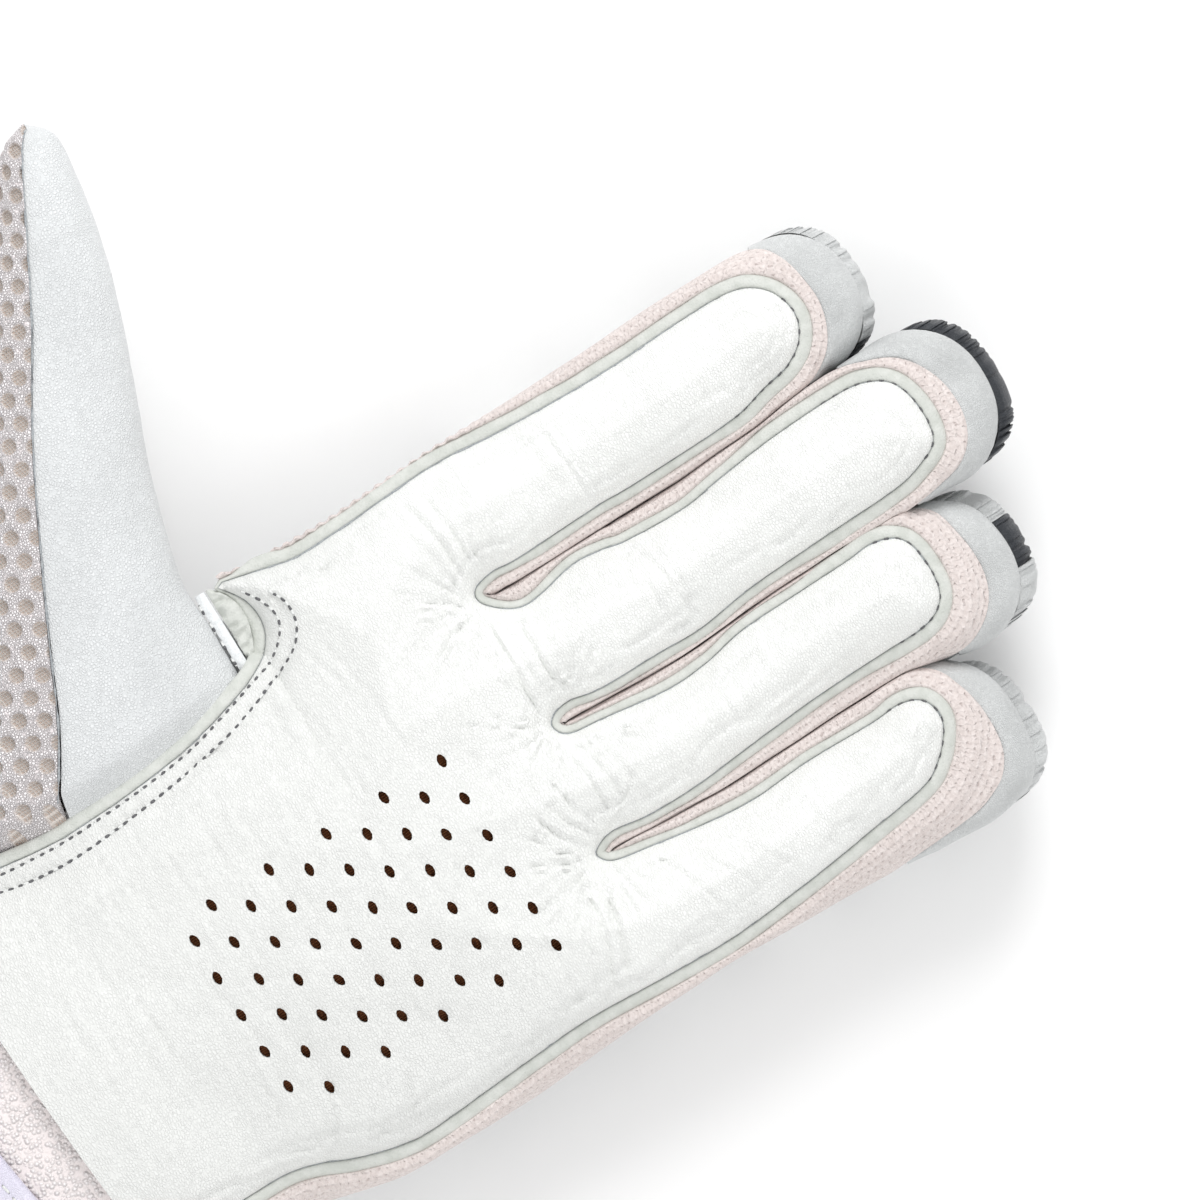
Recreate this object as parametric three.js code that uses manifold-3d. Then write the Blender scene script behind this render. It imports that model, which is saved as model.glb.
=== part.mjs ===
// Cricket batting glove for the left hand, lying palm up on its padded back.
// Millimetres, +Z up, fingers along +Y, thumb towards -X.
import * as THREE from "three";
import { mergeVertices } from "three/addons/utils/BufferGeometryUtils.js";
import Module from "manifold-3d";

const wasm = await Module();
wasm.setup();

// Thicknesses and clearance
const GAP = 0.3;
const LEATHER = 1.5;
const CLOTH = 1.3;
const TERRY = 3;
const STRAP = 2;
const BINDING_WIDTH = 1.9;
const SLIT_HALF = 0.2;

// Sizes across and along the hand
const HAND_WIDTH = 104;
const FINGER_REACH = 87.3;
const PALM_REACH = 117;
const THUMB_REACH = 108;
const THUMB_HALF_HEIGHT = 13.5;
const THUMB_ROOT = -0.36 * HAND_WIDTH;

// Heights above the floor
const ROLL_HEIGHT = 16.7;
const STALL_HEIGHT = 13;
const BACK_BOTTOM = ROLL_HEIGHT + GAP;
const SEAM_HEIGHT = BACK_BOTTOM + LEATHER + STALL_HEIGHT;
const FINGER_CROWN = 5;
const CROWN_ROUND = 3.6;
const CROWN_DIP = 2;
const PALM_CROWN = 8;
const PALM_ROUND = 40;
const THUMB_LIFT = 9;

// The fingers curl gently upwards beyond this line
const CURL_START = 8;
const CURL_RUN = FINGER_REACH + 5;
const CURL_RISE = 13;

// Wrist: an oval tube along Y
const WRIST_X = 0.058 * HAND_WIDTH;
const WRIST_HALF_WIDTH = 41;
const WRIST_HALF_HEIGHT = 17;
const WRIST_DROP = 6.5;
const WRIST_Z = BACK_BOTTOM - WRIST_DROP + WRIST_HALF_HEIGHT;
const WRIST_SLOPE = 14;
const WRIST_BLEND = 20;
const PALM_OVERLAP = 5;
const PALM_CLEAR = GAP + LEATHER + 0.8;
const PALM_SLANT = 0.046;
const BAND_LENGTH = 55;
const BAND_START = -PALM_REACH + PALM_OVERLAP;
const BAND_END = BAND_START - BAND_LENGTH;
const BACK_END = BAND_START + GAP;
const PALM_CORNER_LEFT = WRIST_X - 0.963 * WRIST_HALF_WIDTH;
const PALM_CORNER_RIGHT = WRIST_X + 0.902 * WRIST_HALF_WIDTH;
const TERRY_SHOWN = 12.5;
const STRAP_FRONT = -PALM_REACH - TERRY_SHOWN;
const STRAP_WIDTH = 31;
const STRAP_SLANT = 0.12;

// Steps of the outline
const SIDE_STEPS = 4;
const ARC_STEPS = 4;
const ARC_FULLNESS = 0.8;

// Tables hold shares: across the hand of its width, and along it of the reach of the fingers or the palm
const SLIT_NAMES = ["indexMiddle", "middleRing", "ringLittle"];
const FINGER_LENGTHS = ["rootLeft", "rootRight", "dropLeft", "dropRight"];
FINGER_LENGTHS.push("leatherTip", "fabricTip", "capTip", "ruffleTip");

function alongHand(share) {
  return share * (share > 0 ? FINGER_REACH : PALM_REACH);
}

function sized(rows, across, along) {
  return rows.map((row) => {
    const result = { ...row };
    across.forEach((key) => {
      const share = row[key];
      result[key] = Array.isArray(share) ? share.map((value) => value * HAND_WIDTH) : share * HAND_WIDTH;
    });
    along.forEach((key) => {
      result[key] = alongHand(row[key]);
    });
    return result;
  });
}

// Fingers: stitch line at four even stations from root to shoulder, then the far end of every band
const FINGERS = sized([
  {
    name: "index", rootLeft: 0.069, rootRight: 0.069, left: [-0.512, -0.498, -0.493, -0.492],
    right: [-0.294, -0.296, -0.298, -0.313], dropLeft: 0.103, dropRight: 0.115, apex: -0.409,
    leatherTip: 0.885, fabricTip: 0.934, capTip: 1.033, ruffleTip: 1.064,
  },
  {
    name: "middle", rootLeft: 0.069, rootRight: 0.069, left: [-0.214, -0.218, -0.22, -0.237],
    right: [-0.019, -0.016, -0.032, -0.044], dropLeft: 0.103, dropRight: 0.103, apex: -0.131,
    leatherTip: 1, fabricTip: 1.069, capTip: 1.159, ruffleTip: 1.199,
  },
  {
    name: "ring", rootLeft: 0.069, rootRight: 0.011, left: [0.035, 0.046, 0.029, 0.022],
    right: [0.223, 0.212, 0.199, 0.195], dropLeft: 0.08, dropRight: 0.092, apex: 0.106,
    leatherTip: 0.838, fabricTip: 0.928, capTip: 1.013, ruffleTip: 1.06,
  },
  {
    name: "little", rootLeft: 0.011, rootRight: 0.011, left: [0.278, 0.296, 0.292, 0.294],
    right: [0.49, 0.481, 0.467, 0.448], dropLeft: 0.08, dropRight: 0.183, apex: 0.341,
    leatherTip: 0.696, fabricTip: 0.779, capTip: 0.843, ruffleTip: 0.882,
  },
], ["left", "right", "apex"], FINGER_LENGTHS);

// Slits between neighbouring fingers
const SLITS = sized([
  { y: -0.068, indexMiddle: -0.262, middleRing: -0.005, ringLittle: 0.237 },
  { y: 0.057, indexMiddle: -0.26, middleRing: 0.005, ringLittle: 0.246 },
  { y: 0.286, indexMiddle: -0.258, middleRing: 0.014, ringLittle: 0.254 },
  { y: 0.515, indexMiddle: -0.258, middleRing: 0.002, ringLittle: 0.248 },
  { y: 0.687, indexMiddle: -0.265, middleRing: -0.002, ringLittle: 0.248 },
  { y: 0.848, indexMiddle: -0.279, middleRing: 0.005, ringLittle: 0.283 },
  { y: 1.031, indexMiddle: -0.279, middleRing: 0.011, ringLittle: 0.283 },
], SLIT_NAMES, ["y"]);

// Lines between neighbouring finger rolls
const ROLL_SLITS = sized([
  { y: 0.092, indexMiddle: -0.265, middleRing: 0.006, ringLittle: 0.265 },
  { y: 0.687, indexMiddle: -0.277, middleRing: 0.01, ringLittle: 0.281 },
  { y: 1.145, indexMiddle: -0.279, middleRing: 0.011, ringLittle: 0.284 },
], SLIT_NAMES, ["y"]);

// Outer silhouette of the side cloth
const SILHOUETTE = sized([
  { y: -0.949, index: -0.534, little: 0.452 },
  { y: -0.752, index: -0.534, little: 0.505 },
  { y: -0.598, index: -0.534, little: 0.543 },
  { y: -0.342, index: -0.544, little: 0.548 },
  { y: -0.128, index: -0.534, little: 0.531 },
  { y: 0.057, index: -0.543, little: 0.527 },
  { y: 0.344, index: -0.543, little: 0.541 },
  { y: 0.63, index: -0.55, little: 0.558 },
  { y: 1.031, index: -0.543, little: 0.554 },
], ["index", "little"], ["y"]);

// Crotches between the fingers
const CROTCHES = sized([
  { slit: "indexMiddle", bottom: -0.005 },
  { slit: "middleRing", bottom: -0.015 },
  { slit: "ringLittle", bottom: -0.062 },
], [], ["bottom"]);

// Stitch line of the palm on the little finger side, from the finger root to the wrist
const LITTLE_SIDE = sized([
  { x: 0.484, y: -0.077 }, { x: 0.475, y: -0.188 }, { x: 0.477, y: -0.291 }, { x: 0.487, y: -0.402 },
  { x: 0.495, y: -0.513 }, { x: 0.488, y: -0.573 }, { x: 0.463, y: -0.641 }, { x: 0.437, y: -0.701 },
  { x: 0.422, y: -0.752 }, { x: 0.424, y: -0.821 }, { x: 0.419, y: -0.923 },
], ["x"], ["y"]);

// Edge of the palm leather along the thumb base, from the wrist to the thumb crotch
const THUMB_BORDER = sized([
  { x: -0.321, y: -0.949 }, { x: -0.308, y: -0.868 }, { x: -0.291, y: -0.761 }, { x: -0.3, y: -0.641 },
  { x: -0.315, y: -0.526 }, { x: -0.337, y: -0.427 }, { x: -0.365, y: -0.359 }, { x: -0.399, y: -0.323 },
  { x: -0.438, y: -0.311 }, { x: -0.481, y: -0.318 }, { x: -0.511, y: -0.333 },
], ["x"], ["y"]);

// Stitch line from the thumb crotch to the index finger
const INDEX_SIDE = sized([
  { x: -0.51, y: -0.256 }, { x: -0.503, y: -0.154 }, { x: -0.506, y: -0.051 },
], ["x"], ["y"]);

// Thumb stall: edge towards the fingers, outer edge, share of the leather seam, middle height, half height
// and bow towards the palm
const THUMB_SHARES = [
  { ux: 0.014, uy: -0.392, lx: 0, ly: -0.932, seam: 0.65, z: 1, half: 0.852, bow: 0.031 },
  { ux: 0.116, uy: -0.391, lx: 0.12, ly: -0.889, seam: 0.557, z: 1.016, half: 0.963, bow: 0.019 },
  { ux: 0.218, uy: -0.389, lx: 0.245, ly: -0.816, seam: 0.52, z: 1.032, half: 1, bow: 0.008 },
  { ux: 0.347, uy: -0.354, lx: 0.394, ly: -0.721, seam: 0.515, z: 1.048, half: 1, bow: 0 },
  { ux: 0.505, uy: -0.297, lx: 0.579, ly: -0.594, seam: 0.545, z: 1.063, half: 0.926, bow: 0 },
  { ux: 0.662, uy: -0.243, lx: 0.745, ly: -0.466, seam: 0.56, z: 1.079, half: 0.815, bow: 0 },
  { ux: 0.792, uy: -0.207, lx: 0.866, ly: -0.368, seam: 0.6, z: 1.095, half: 0.704, bow: 0 },
  { ux: 0.894, uy: -0.191, lx: 0.947, ly: -0.308, seam: 0.6, z: 1.111, half: 0.593, bow: 0 },
  { ux: 0.963, uy: -0.183, lx: 0.995, ly: -0.265, seam: 0.6, z: 1.121, half: 0.415, bow: 0 },
  { ux: 0.992, uy: -0.193, lx: 1.011, ly: -0.231, seam: 0.6, z: 1.124, half: 0.178, bow: 0 },
];
const THUMB = THUMB_SHARES.map((row) => ({
  ux: THUMB_ROOT - row.ux * THUMB_REACH,
  uy: row.uy * PALM_REACH,
  lx: THUMB_ROOT - row.lx * THUMB_REACH,
  ly: row.ly * PALM_REACH,
  seam: row.seam,
  z: row.z * SEAM_HEIGHT,
  half: row.half * THUMB_HALF_HEIGHT,
  bow: row.bow * HAND_WIDTH,
}));
const THUMB_TOP = THUMB[0].uy + 6;
const THUMB_BOTTOM = THUMB[0].ly - 3;
const THUMB_FALL = 45;

// Folds across the palm
const FOLDS = sized([
  { fromX: -0.279, fromY: -0.007, toX: -0.019, toY: -0.012, width: 4, depth: 1.6 },
  { fromX: -0.51, fromY: -0.034, toX: -0.288, toY: 0, width: 4, depth: 1 },
  { fromX: 0.24, fromY: -0.077, toX: 0.481, toY: -0.137, width: 4, depth: 1.4 },
  { fromX: -0.49, fromY: 0.309, toX: -0.308, toY: 0.309, width: 4, depth: 0.8 },
  { fromX: -0.212, fromY: 0.332, toX: -0.038, toY: 0.355, width: 4, depth: 0.8 },
], ["fromX", "toX"], ["fromY", "toY"]);

// Vent holes in staggered rows over the heel of the palm
const VENT_ROWS = 10;
const VENT_PITCH_X = 8;
const VENT_PITCH_Y = 6.2;
const VENT_CENTRE_X = 0.135 * HAND_WIDTH;
const VENT_CENTRE_Y = -0.427 * PALM_REACH;
const VENT_HALF_LENGTH = 1.4;
const VENT_HALF_WIDTH = 0.9;

// Profile of every padded roll: share of the height and inset from the widest outline
const ROLL_PROFILE = [
  { share: 0, inset: 4.6 },
  { share: 0.2, inset: 1.3 },
  { share: 0.55, inset: 0 },
  { share: 0.88, inset: 1.1 },
  { share: 1, inset: 3.8 },
];

// Padded rolls on the fingers and across the back of the hand
const ROLL_CORNER = 3.2;
const ROLL_NAMES = ["base", "mid", "tip"];
const ROLL_SPLITS = [0, 0.34, 0.66, 1];
const FINGER_ROLL_START = 7.5;
const HAND_ROLL_ENDS = [-0.846, -0.65, -0.427, -0.188].map(alongHand);
HAND_ROLL_ENDS.push(FINGER_ROLL_START - GAP);
const HAND_ROLL_LEFT = -0.49 * HAND_WIDTH;
const HAND_ROLL_RIGHT = 0.51 * HAND_WIDTH;
const HEEL_NARROWING = 0.087 * HAND_WIDTH;

// Fingertips: side walls, then the gathered bands with a pleat at every other station
const WALL_STEPS = 3;
const TIP_ROUND = 12;
const PLEATS = 9;
const PLEAT_DEPTH = 0.9;
const RUFFLE_LEVELS = [
  { share: 1.1, reach: 0.15 },
  { share: 0.72, reach: 1 },
  { share: 0.3, reach: 0.75 },
];

// Thumb pads, and the small trim in the thumb's crotch and at the heel
const THUMB_UNDER = -0.9;
const PAD_FROM = -2.75;
const PAD_TO = -0.4;
const PAD_THICKNESS = 0.667 * THUMB_HALF_HEIGHT;
const PAD_CLEAR = 0.45;
const PAD_WIDEST = 0.97;
const HEEL_TOP = -0.795 * PALM_REACH;
const HEEL_X = THUMB_ROOT + 1.3;
const TAPE_START = -0.54 * HAND_WIDTH;
const TAPE_END = -0.38 * HAND_WIDTH;
const TAPE_WIDTH = 2;
const TAPE_BOTTOM = THUMB[1].uy + 2 * GAP;
const TAPE_TOP = TAPE_BOTTOM + TAPE_WIDTH;
const PATCH_RISE = 0.0222 * PALM_REACH;

// Wristband
const BAND_TURNS = 28;
const STRAP_FIRST = -1.9;
const STRAP_TURN = Math.PI * 2.2;

// Rows across the palm leather and the back panel
const PALM_ROWS = [
  ...evenRows(-1.05, -0.51, 4), -0.43, -0.37, -0.325, -0.27, -0.17, -0.085, -0.034, 0.012, 0.08, 0.195, 0.32,
  0.46, 0.585, 0.653, 0.716, 0.79, 0.853, 0.905, 0.962, 1.02,
].map(alongHand);
const BACK_ROWS = [
  BACK_END - 2, BACK_END + WRIST_SLOPE / 3, ...evenRows(BACK_END + WRIST_SLOPE, FINGER_REACH * 1.1, 7),
];
const CUT_DEPTH = 120;

// Small helpers
function mix(a, b, share) {
  return a + (b - a) * share;
}

function smooth(value) {
  const t = Math.min(1, Math.max(0, value));
  return t * t * (3 - 2 * t);
}

function lookUp(rows, y, column) {
  if (y <= rows[0].y) {
    return rows[0][column];
  }
  for (let i = 1; i < rows.length; i += 1) {
    if (y <= rows[i].y) {
      return mix(rows[i - 1][column], rows[i][column], (y - rows[i - 1].y) / (rows[i].y - rows[i - 1].y));
    }
  }
  return rows[rows.length - 1][column];
}

function between(values, share) {
  const place = Math.min(0.9999, Math.max(0, share)) * (values.length - 1);
  const first = Math.floor(place);
  return mix(values[first], values[first + 1], smooth(place - first) * 0.4 + (place - first) * 0.6);
}

// Height fields
function curl(y) {
  const t = Math.max(0, y - CURL_START) / CURL_RUN;
  return CURL_RISE * t * t;
}

function backBottom(y) {
  const drop = -WRIST_DROP;
  return BACK_BOTTOM + curl(y) + drop * smooth((BAND_START + WRIST_SLOPE - y) / WRIST_SLOPE);
}

function thumbLift(x, y) {
  const share = Math.min(1, Math.max(0, (THUMB_TOP - y) / (THUMB_TOP - THUMB_BOTTOM)));
  const arc = Math.sqrt(1 - (2 * share - 1) ** 2);
  return THUMB_LIFT * arc * smooth((THUMB_ROOT + 5 + THUMB_FALL - x) / THUMB_FALL);
}

function wristArch(x) {
  const share = Math.min(0.93, Math.abs(x - WRIST_X) / (WRIST_HALF_WIDTH + PALM_CLEAR));
  return WRIST_Z + (WRIST_HALF_HEIGHT + PALM_CLEAR) * Math.sqrt(1 - share * share);
}

function wristShare(y) {
  return smooth((BAND_START + WRIST_BLEND + 4 - y) / WRIST_BLEND);
}

function seamHeight(x, y) {
  return mix(SEAM_HEIGHT + curl(y) + thumbLift(x, y), wristArch(x), wristShare(y));
}

function distanceToSeam(x, y) {
  let nearest = Infinity;
  for (let i = 1; i < SEAM.length; i += 1) {
    const [ax, ay] = SEAM[i - 1];
    const [bx, by] = SEAM[i];
    const length = (bx - ax) ** 2 + (by - ay) ** 2;
    const share = Math.min(1, Math.max(0, ((x - ax) * (bx - ax) + (y - ay) * (by - ay)) / length));
    nearest = Math.min(nearest, Math.hypot(x - mix(ax, bx, share), y - mix(ay, by, share)));
  }
  return nearest;
}

function insidePalm(x, y) {
  let inside = false;
  for (let i = 0; i < SEAM.length; i += 1) {
    const [ax, ay] = SEAM[i];
    const [bx, by] = SEAM[(i + 1) % SEAM.length];
    if ((ay > y) !== (by > y) && x < ax + ((y - ay) / (by - ay)) * (bx - ax)) {
      inside = !inside;
    }
  }
  return inside;
}

function folds(x, y) {
  let depth = 0;
  FOLDS.forEach((fold) => {
    const share = Math.min(1, Math.max(0, (x - fold.fromX) / (fold.toX - fold.fromX)));
    const away = (y - mix(fold.fromY, fold.toY, share)) / fold.width;
    const past = (Math.max(0, fold.fromX - x) + Math.max(0, x - fold.toX)) / fold.width;
    depth += fold.depth * Math.exp(-away * away - past * past);
  });
  return depth;
}

function palmHeight(x, y) {
  const distance = distanceToSeam(x, y);
  const depth = insidePalm(x, y) ? distance : 0;
  const thumbSide = smooth((THUMB_ROOT + 20 - x) / 10) * smooth((THUMB_TOP + 2 - y) / 8);
  const pad = FINGER_CROWN * (1 - 0.7 * thumbSide) * (1 - Math.exp(-depth / CROWN_ROUND));
  const below = depth > 0 ? 0 : Math.min(CROWN_DIP, distance * 0.5);
  const mound = PALM_CROWN * smooth(depth / PALM_ROUND);
  const hand = SEAM_HEIGHT + curl(y) + thumbLift(x, y) + pad + mound - below - folds(x, y);
  return mix(hand, wristArch(x), wristShare(y));
}

// Outlines
function quarterOut(a, b, steps) {
  const points = [];
  for (let i = 1; i <= steps; i += 1) {
    const angle = (i / steps) * Math.PI / 2;
    const x = b[0] + (a[0] - b[0]) * Math.cos(angle) ** ARC_FULLNESS;
    points.push([i === steps ? b[0] : x, mix(a[1], b[1], Math.sin(angle) ** ARC_FULLNESS)]);
  }
  return points;
}

function quarterIn(a, b, steps) {
  const back = [a, ...quarterOut(b, a, steps).slice(0, -1).reverse(), b];
  return back.slice(1);
}

function fingerLine(finger, tip, leftX, rightX, apex, extraDrop) {
  const points = [];
  const leftTop = tip - finger.dropLeft - extraDrop;
  const rightTop = tip - finger.dropRight - extraDrop;
  for (let i = 0; i <= SIDE_STEPS; i += 1) {
    const y = mix(finger.rootLeft, leftTop, i / SIDE_STEPS);
    points.push([leftX(y, i / SIDE_STEPS), y]);
  }
  points.push(...quarterOut(points[points.length - 1], [apex, tip], ARC_STEPS));
  const shoulder = [rightX(rightTop, 1), rightTop];
  points.push(...quarterIn([apex, tip], shoulder, ARC_STEPS));
  for (let i = SIDE_STEPS - 1; i >= 0; i -= 1) {
    const y = mix(finger.rootRight, rightTop, i / SIDE_STEPS);
    points.push([rightX(y, i / SIDE_STEPS), y]);
  }
  return points;
}

function stitchLine(finger) {
  const left = (y, share) => between(finger.left, share);
  const right = (y, share) => between(finger.right, share);
  return fingerLine(finger, finger.leatherTip, left, right, finger.apex, 0);
}

function leftBound(order, y, slits = SLITS) {
  if (order === 0) {
    return lookUp(SILHOUETTE, y, "index");
  }
  return lookUp(slits, y, CROTCHES[order - 1].slit) + SLIT_HALF;
}

function rightBound(order, y, slits = SLITS) {
  if (order === FINGERS.length - 1) {
    return lookUp(SILHOUETTE, y, "little");
  }
  return lookUp(slits, y, CROTCHES[order].slit) - SLIT_HALF;
}

function outerLine(order, tip) {
  const finger = FINGERS[order];
  const middle = (leftBound(order, tip) + rightBound(order, tip)) / 2;
  return fingerLine(finger, tip, (y) => leftBound(order, y), (y) => rightBound(order, y), middle, 3);
}

function crotchHalf(order, side) {
  const crotch = CROTCHES[order];
  const x = lookUp(SLITS, crotch.bottom, crotch.slit);
  const bottom = [x, crotch.bottom];
  if (side === "left") {
    const finger = FINGERS[order];
    return quarterOut([finger.right[0], finger.rootRight], bottom, 3);
  }
  const finger = FINGERS[order + 1];
  return quarterIn(bottom, [finger.left[0], finger.rootLeft], 3);
}

function seamLine() {
  const line = [[PALM_CORNER_LEFT, -PALM_REACH + PALM_SLANT * (PALM_CORNER_LEFT - WRIST_X)]];
  THUMB_BORDER.forEach((row) => line.push([row.x, row.y]));
  INDEX_SIDE.forEach((row) => line.push([row.x, row.y]));
  FINGERS.forEach((finger, order) => {
    const points = stitchLine(finger);
    line.push(...(order === 0 ? points : points.slice(1)));
    if (order < CROTCHES.length) {
      line.push(...crotchHalf(order, "left"));
      line.push(...crotchHalf(order, "right"));
    }
  });
  LITTLE_SIDE.forEach((row) => line.push([row.x, row.y]));
  line.push([PALM_CORNER_RIGHT, -PALM_REACH + PALM_SLANT * (PALM_CORNER_RIGHT - WRIST_X)]);
  return line;
}

const SEAM = seamLine();

function outwardNormals(line) {
  return line.map((point, i) => {
    const before = line[Math.max(0, i - 1)];
    const after = line[Math.min(line.length - 1, i + 1)];
    const dx = after[0] - before[0];
    const dy = after[1] - before[1];
    const length = Math.hypot(dx, dy);
    return [-dy / length, dx / length];
  });
}

function nearestFinger(x) {
  const middles = FINGERS.map((finger) => (finger.left[0] + finger.right[0]) / 2);
  let best = 0;
  middles.forEach((middle, i) => {
    if (Math.abs(x - middle) < Math.abs(x - middles[best])) {
      best = i;
    }
  });
  return best;
}

function offsetSeam(reach) {
  const normals = outwardNormals(SEAM);
  return SEAM.map(([x, y], i) => {
    const moved = [x + normals[i][0] * reach, y + normals[i][1] * reach];
    if (y > CROTCHES[CROTCHES.length - 1].bottom - 1) {
      const order = nearestFinger(x);
      const low = order === 0 ? -Infinity : leftBound(order, moved[1]);
      const high = order === FINGERS.length - 1 ? Infinity : rightBound(order, moved[1]);
      moved[0] = Math.min(high, Math.max(low, moved[0]));
    }
    return moved;
  });
}

// Closed bodies
function closedBody(points, faces) {
  const geometry = new THREE.BufferGeometry();
  geometry.setAttribute("position", new THREE.Float32BufferAttribute(points.flat(), 3));
  let volume = 0;
  for (let i = 0; i < faces.length; i += 3) {
    const a = new THREE.Vector3(...points[faces[i]]);
    const b = new THREE.Vector3(...points[faces[i + 1]]);
    const c = new THREE.Vector3(...points[faces[i + 2]]);
    volume += a.dot(b.cross(c));
  }
  if (volume < 0) {
    faces.reverse();
  }
  geometry.setIndex(faces);
  return geometry;
}

function thickSheet(outer, inner, wrap = false) {
  const rows = outer.length;
  const last = outer[0].length - 1;
  const faces = [];
  const at = (side, i, j) => side * rows * (last + 1) + (i % rows) * (last + 1) + j;
  const quad = (a, b, c, d) => faces.push(a, b, c, a, c, d);
  const spans = wrap ? rows : rows - 1;
  for (let i = 0; i < spans; i += 1) {
    for (let j = 0; j < last; j += 1) {
      quad(at(0, i, j), at(0, i + 1, j), at(0, i + 1, j + 1), at(0, i, j + 1));
      quad(at(1, i, j), at(1, i, j + 1), at(1, i + 1, j + 1), at(1, i + 1, j));
    }
    quad(at(0, i, 0), at(1, i, 0), at(1, i + 1, 0), at(0, i + 1, 0));
    quad(at(0, i, last), at(0, i + 1, last), at(1, i + 1, last), at(1, i, last));
  }
  for (let j = 0; j < (wrap ? 0 : last); j += 1) {
    quad(at(0, 0, j), at(0, 0, j + 1), at(1, 0, j + 1), at(1, 0, j));
    quad(at(0, rows - 1, j), at(1, rows - 1, j), at(1, rows - 1, j + 1), at(0, rows - 1, j + 1));
  }
  return closedBody([...outer.flat(), ...inner.flat()], faces);
}

function toSolid(geometry) {
  geometry.deleteAttribute("normal");
  geometry.deleteAttribute("uv");
  const merged = mergeVertices(geometry, 0.0001);
  return new wasm.Manifold(new wasm.Mesh({
    numProp: 3,
    vertProperties: new Float32Array(merged.attributes.position.array),
    triVerts: new Uint32Array(merged.index.array),
  }));
}

function toGeometry(solid) {
  const result = solid.getMesh();
  const geometry = new THREE.BufferGeometry();
  geometry.setAttribute("position", new THREE.Float32BufferAttribute(result.vertProperties, 3));
  geometry.setIndex(Array.from(result.triVerts));
  return geometry;
}

function cutSheet(outline, holes, columns, ys, top, thickness) {
  const shape = new THREE.Shape(outline.map(([x, y]) => new THREE.Vector2(x, y)));
  holes.forEach((hole) => shape.holes.push(new THREE.Path(hole.map(([x, y]) => new THREE.Vector2(x, y)))));
  const tall = new THREE.ExtrudeGeometry(shape, { depth: CUT_DEPTH, bevelEnabled: false });
  const upper = ys.map((y) => columns(y).map((x) => [x, y, top(x, y)]));
  const lower = ys.map((y) => columns(y).map((x) => [x, y, top(x, y) - thickness]));
  return toGeometry(toSolid(thickSheet(upper, lower)).intersect(toSolid(tall)));
}

function inset(outline, amount) {
  const count = outline.length;
  return outline.map(([x, y], i) => {
    const before = outline[(i + count - 1) % count];
    const after = outline[(i + 1) % count];
    const dx = after[0] - before[0];
    const dy = after[1] - before[1];
    const length = Math.hypot(dx, dy);
    return [x - (dy / length) * amount, y + (dx / length) * amount];
  });
}

function paddedRoll(outlineAt, bottom, top) {
  const outline = outlineAt(0);
  const count = outline.length;
  const points = [];
  ROLL_PROFILE.forEach((level) => {
    outlineAt(level.inset).forEach(([x, y]) => {
      points.push([x, y, mix(bottom(x, y), top(x, y), level.share)]);
    });
  });
  const faces = [];
  for (let k = 0; k < ROLL_PROFILE.length - 1; k += 1) {
    for (let i = 0; i < count; i += 1) {
      const a = k * count + i;
      const b = k * count + ((i + 1) % count);
      faces.push(a, b, b + count, a, b + count, a + count);
    }
  }
  const roof = (ROLL_PROFILE.length - 1) * count;
  const middle = [0, 1].map((axis) => outline.reduce((sum, point) => sum + point[axis] / count, 0));
  points.push([...middle, bottom(...middle)], [...middle, top(...middle)]);
  for (let i = 0; i < count; i += 1) {
    const next = (i + 1) % count;
    faces.push(points.length - 2, next, i);
    faces.push(points.length - 1, roof + i, roof + next);
  }
  return closedBody(points, faces);
}

// Vent holes: pointed leaves with their length across the hand
function ventHoles() {
  const holes = [];
  for (let row = 0; row < VENT_ROWS; row += 1) {
    const count = 5 + (row % 2);
    for (let i = 0; i < count; i += 1) {
      const x = VENT_CENTRE_X + (i - (count - 1) / 2) * VENT_PITCH_X;
      const y = VENT_CENTRE_Y + (row - (VENT_ROWS - 1) / 2) * VENT_PITCH_Y;
      const leaf = [];
      for (let k = 0; k < 4; k += 1) {
        const angle = (k * Math.PI) / 2;
        leaf.push([x + Math.cos(angle) * VENT_HALF_LENGTH, y + Math.sin(angle) * VENT_HALF_WIDTH]);
      }
      holes.push(leaf);
    }
  }
  return holes;
}

function fingerEdges(finger, y) {
  const leftRun = finger.leatherTip - finger.dropLeft - finger.rootLeft;
  const rightRun = finger.leatherTip - finger.dropRight - finger.rootRight;
  let right = between(finger.right, (y - finger.rootRight) / rightRun);
  if (finger.name === "little" && y < finger.rootRight) {
    right = lookUp([...LITTLE_SIDE].reverse(), y, "x");
  }
  return [between(finger.left, (y - finger.rootLeft) / leftRun), right];
}

function palmColumns(y, shares, margin) {
  const columns = [-0.58 * HAND_WIDTH];
  FINGERS.forEach((finger) => {
    const [left, right] = fingerEdges(finger, y);
    columns.push(...(margin > 0 ? [left - margin] : []));
    shares.forEach((share) => columns.push(mix(left, right, share)));
    columns.push(...(margin > 0 ? [right + margin] : []));
  });
  columns.push(0.58 * HAND_WIDTH);
  return columns;
}

function evenRows(first, last, count) {
  return Array.from({ length: count + 1 }, (unused, i) => mix(first, last, i / count));
}

// Side wall of a finger: a quarter oval from the seam outwards and down to the back panel
function wallPoint(station, angle, thickness) {
  const [ix, iy] = station.inner;
  const [ox, oy] = station.outer;
  const reach = Math.hypot(ox - ix, oy - iy);
  const start = GAP / reach;
  const share = start + Math.sin(angle) * ((reach - thickness) / reach - start);
  const top = seamHeight(ix, iy) - LEATHER - GAP - thickness;
  const x = mix(ix, ox, share);
  const y = mix(iy, oy, share);
  const floor = backBottom(y) + LEATHER + GAP;
  return [x, y, mix(floor, top, Math.cos(angle))];
}

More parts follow.
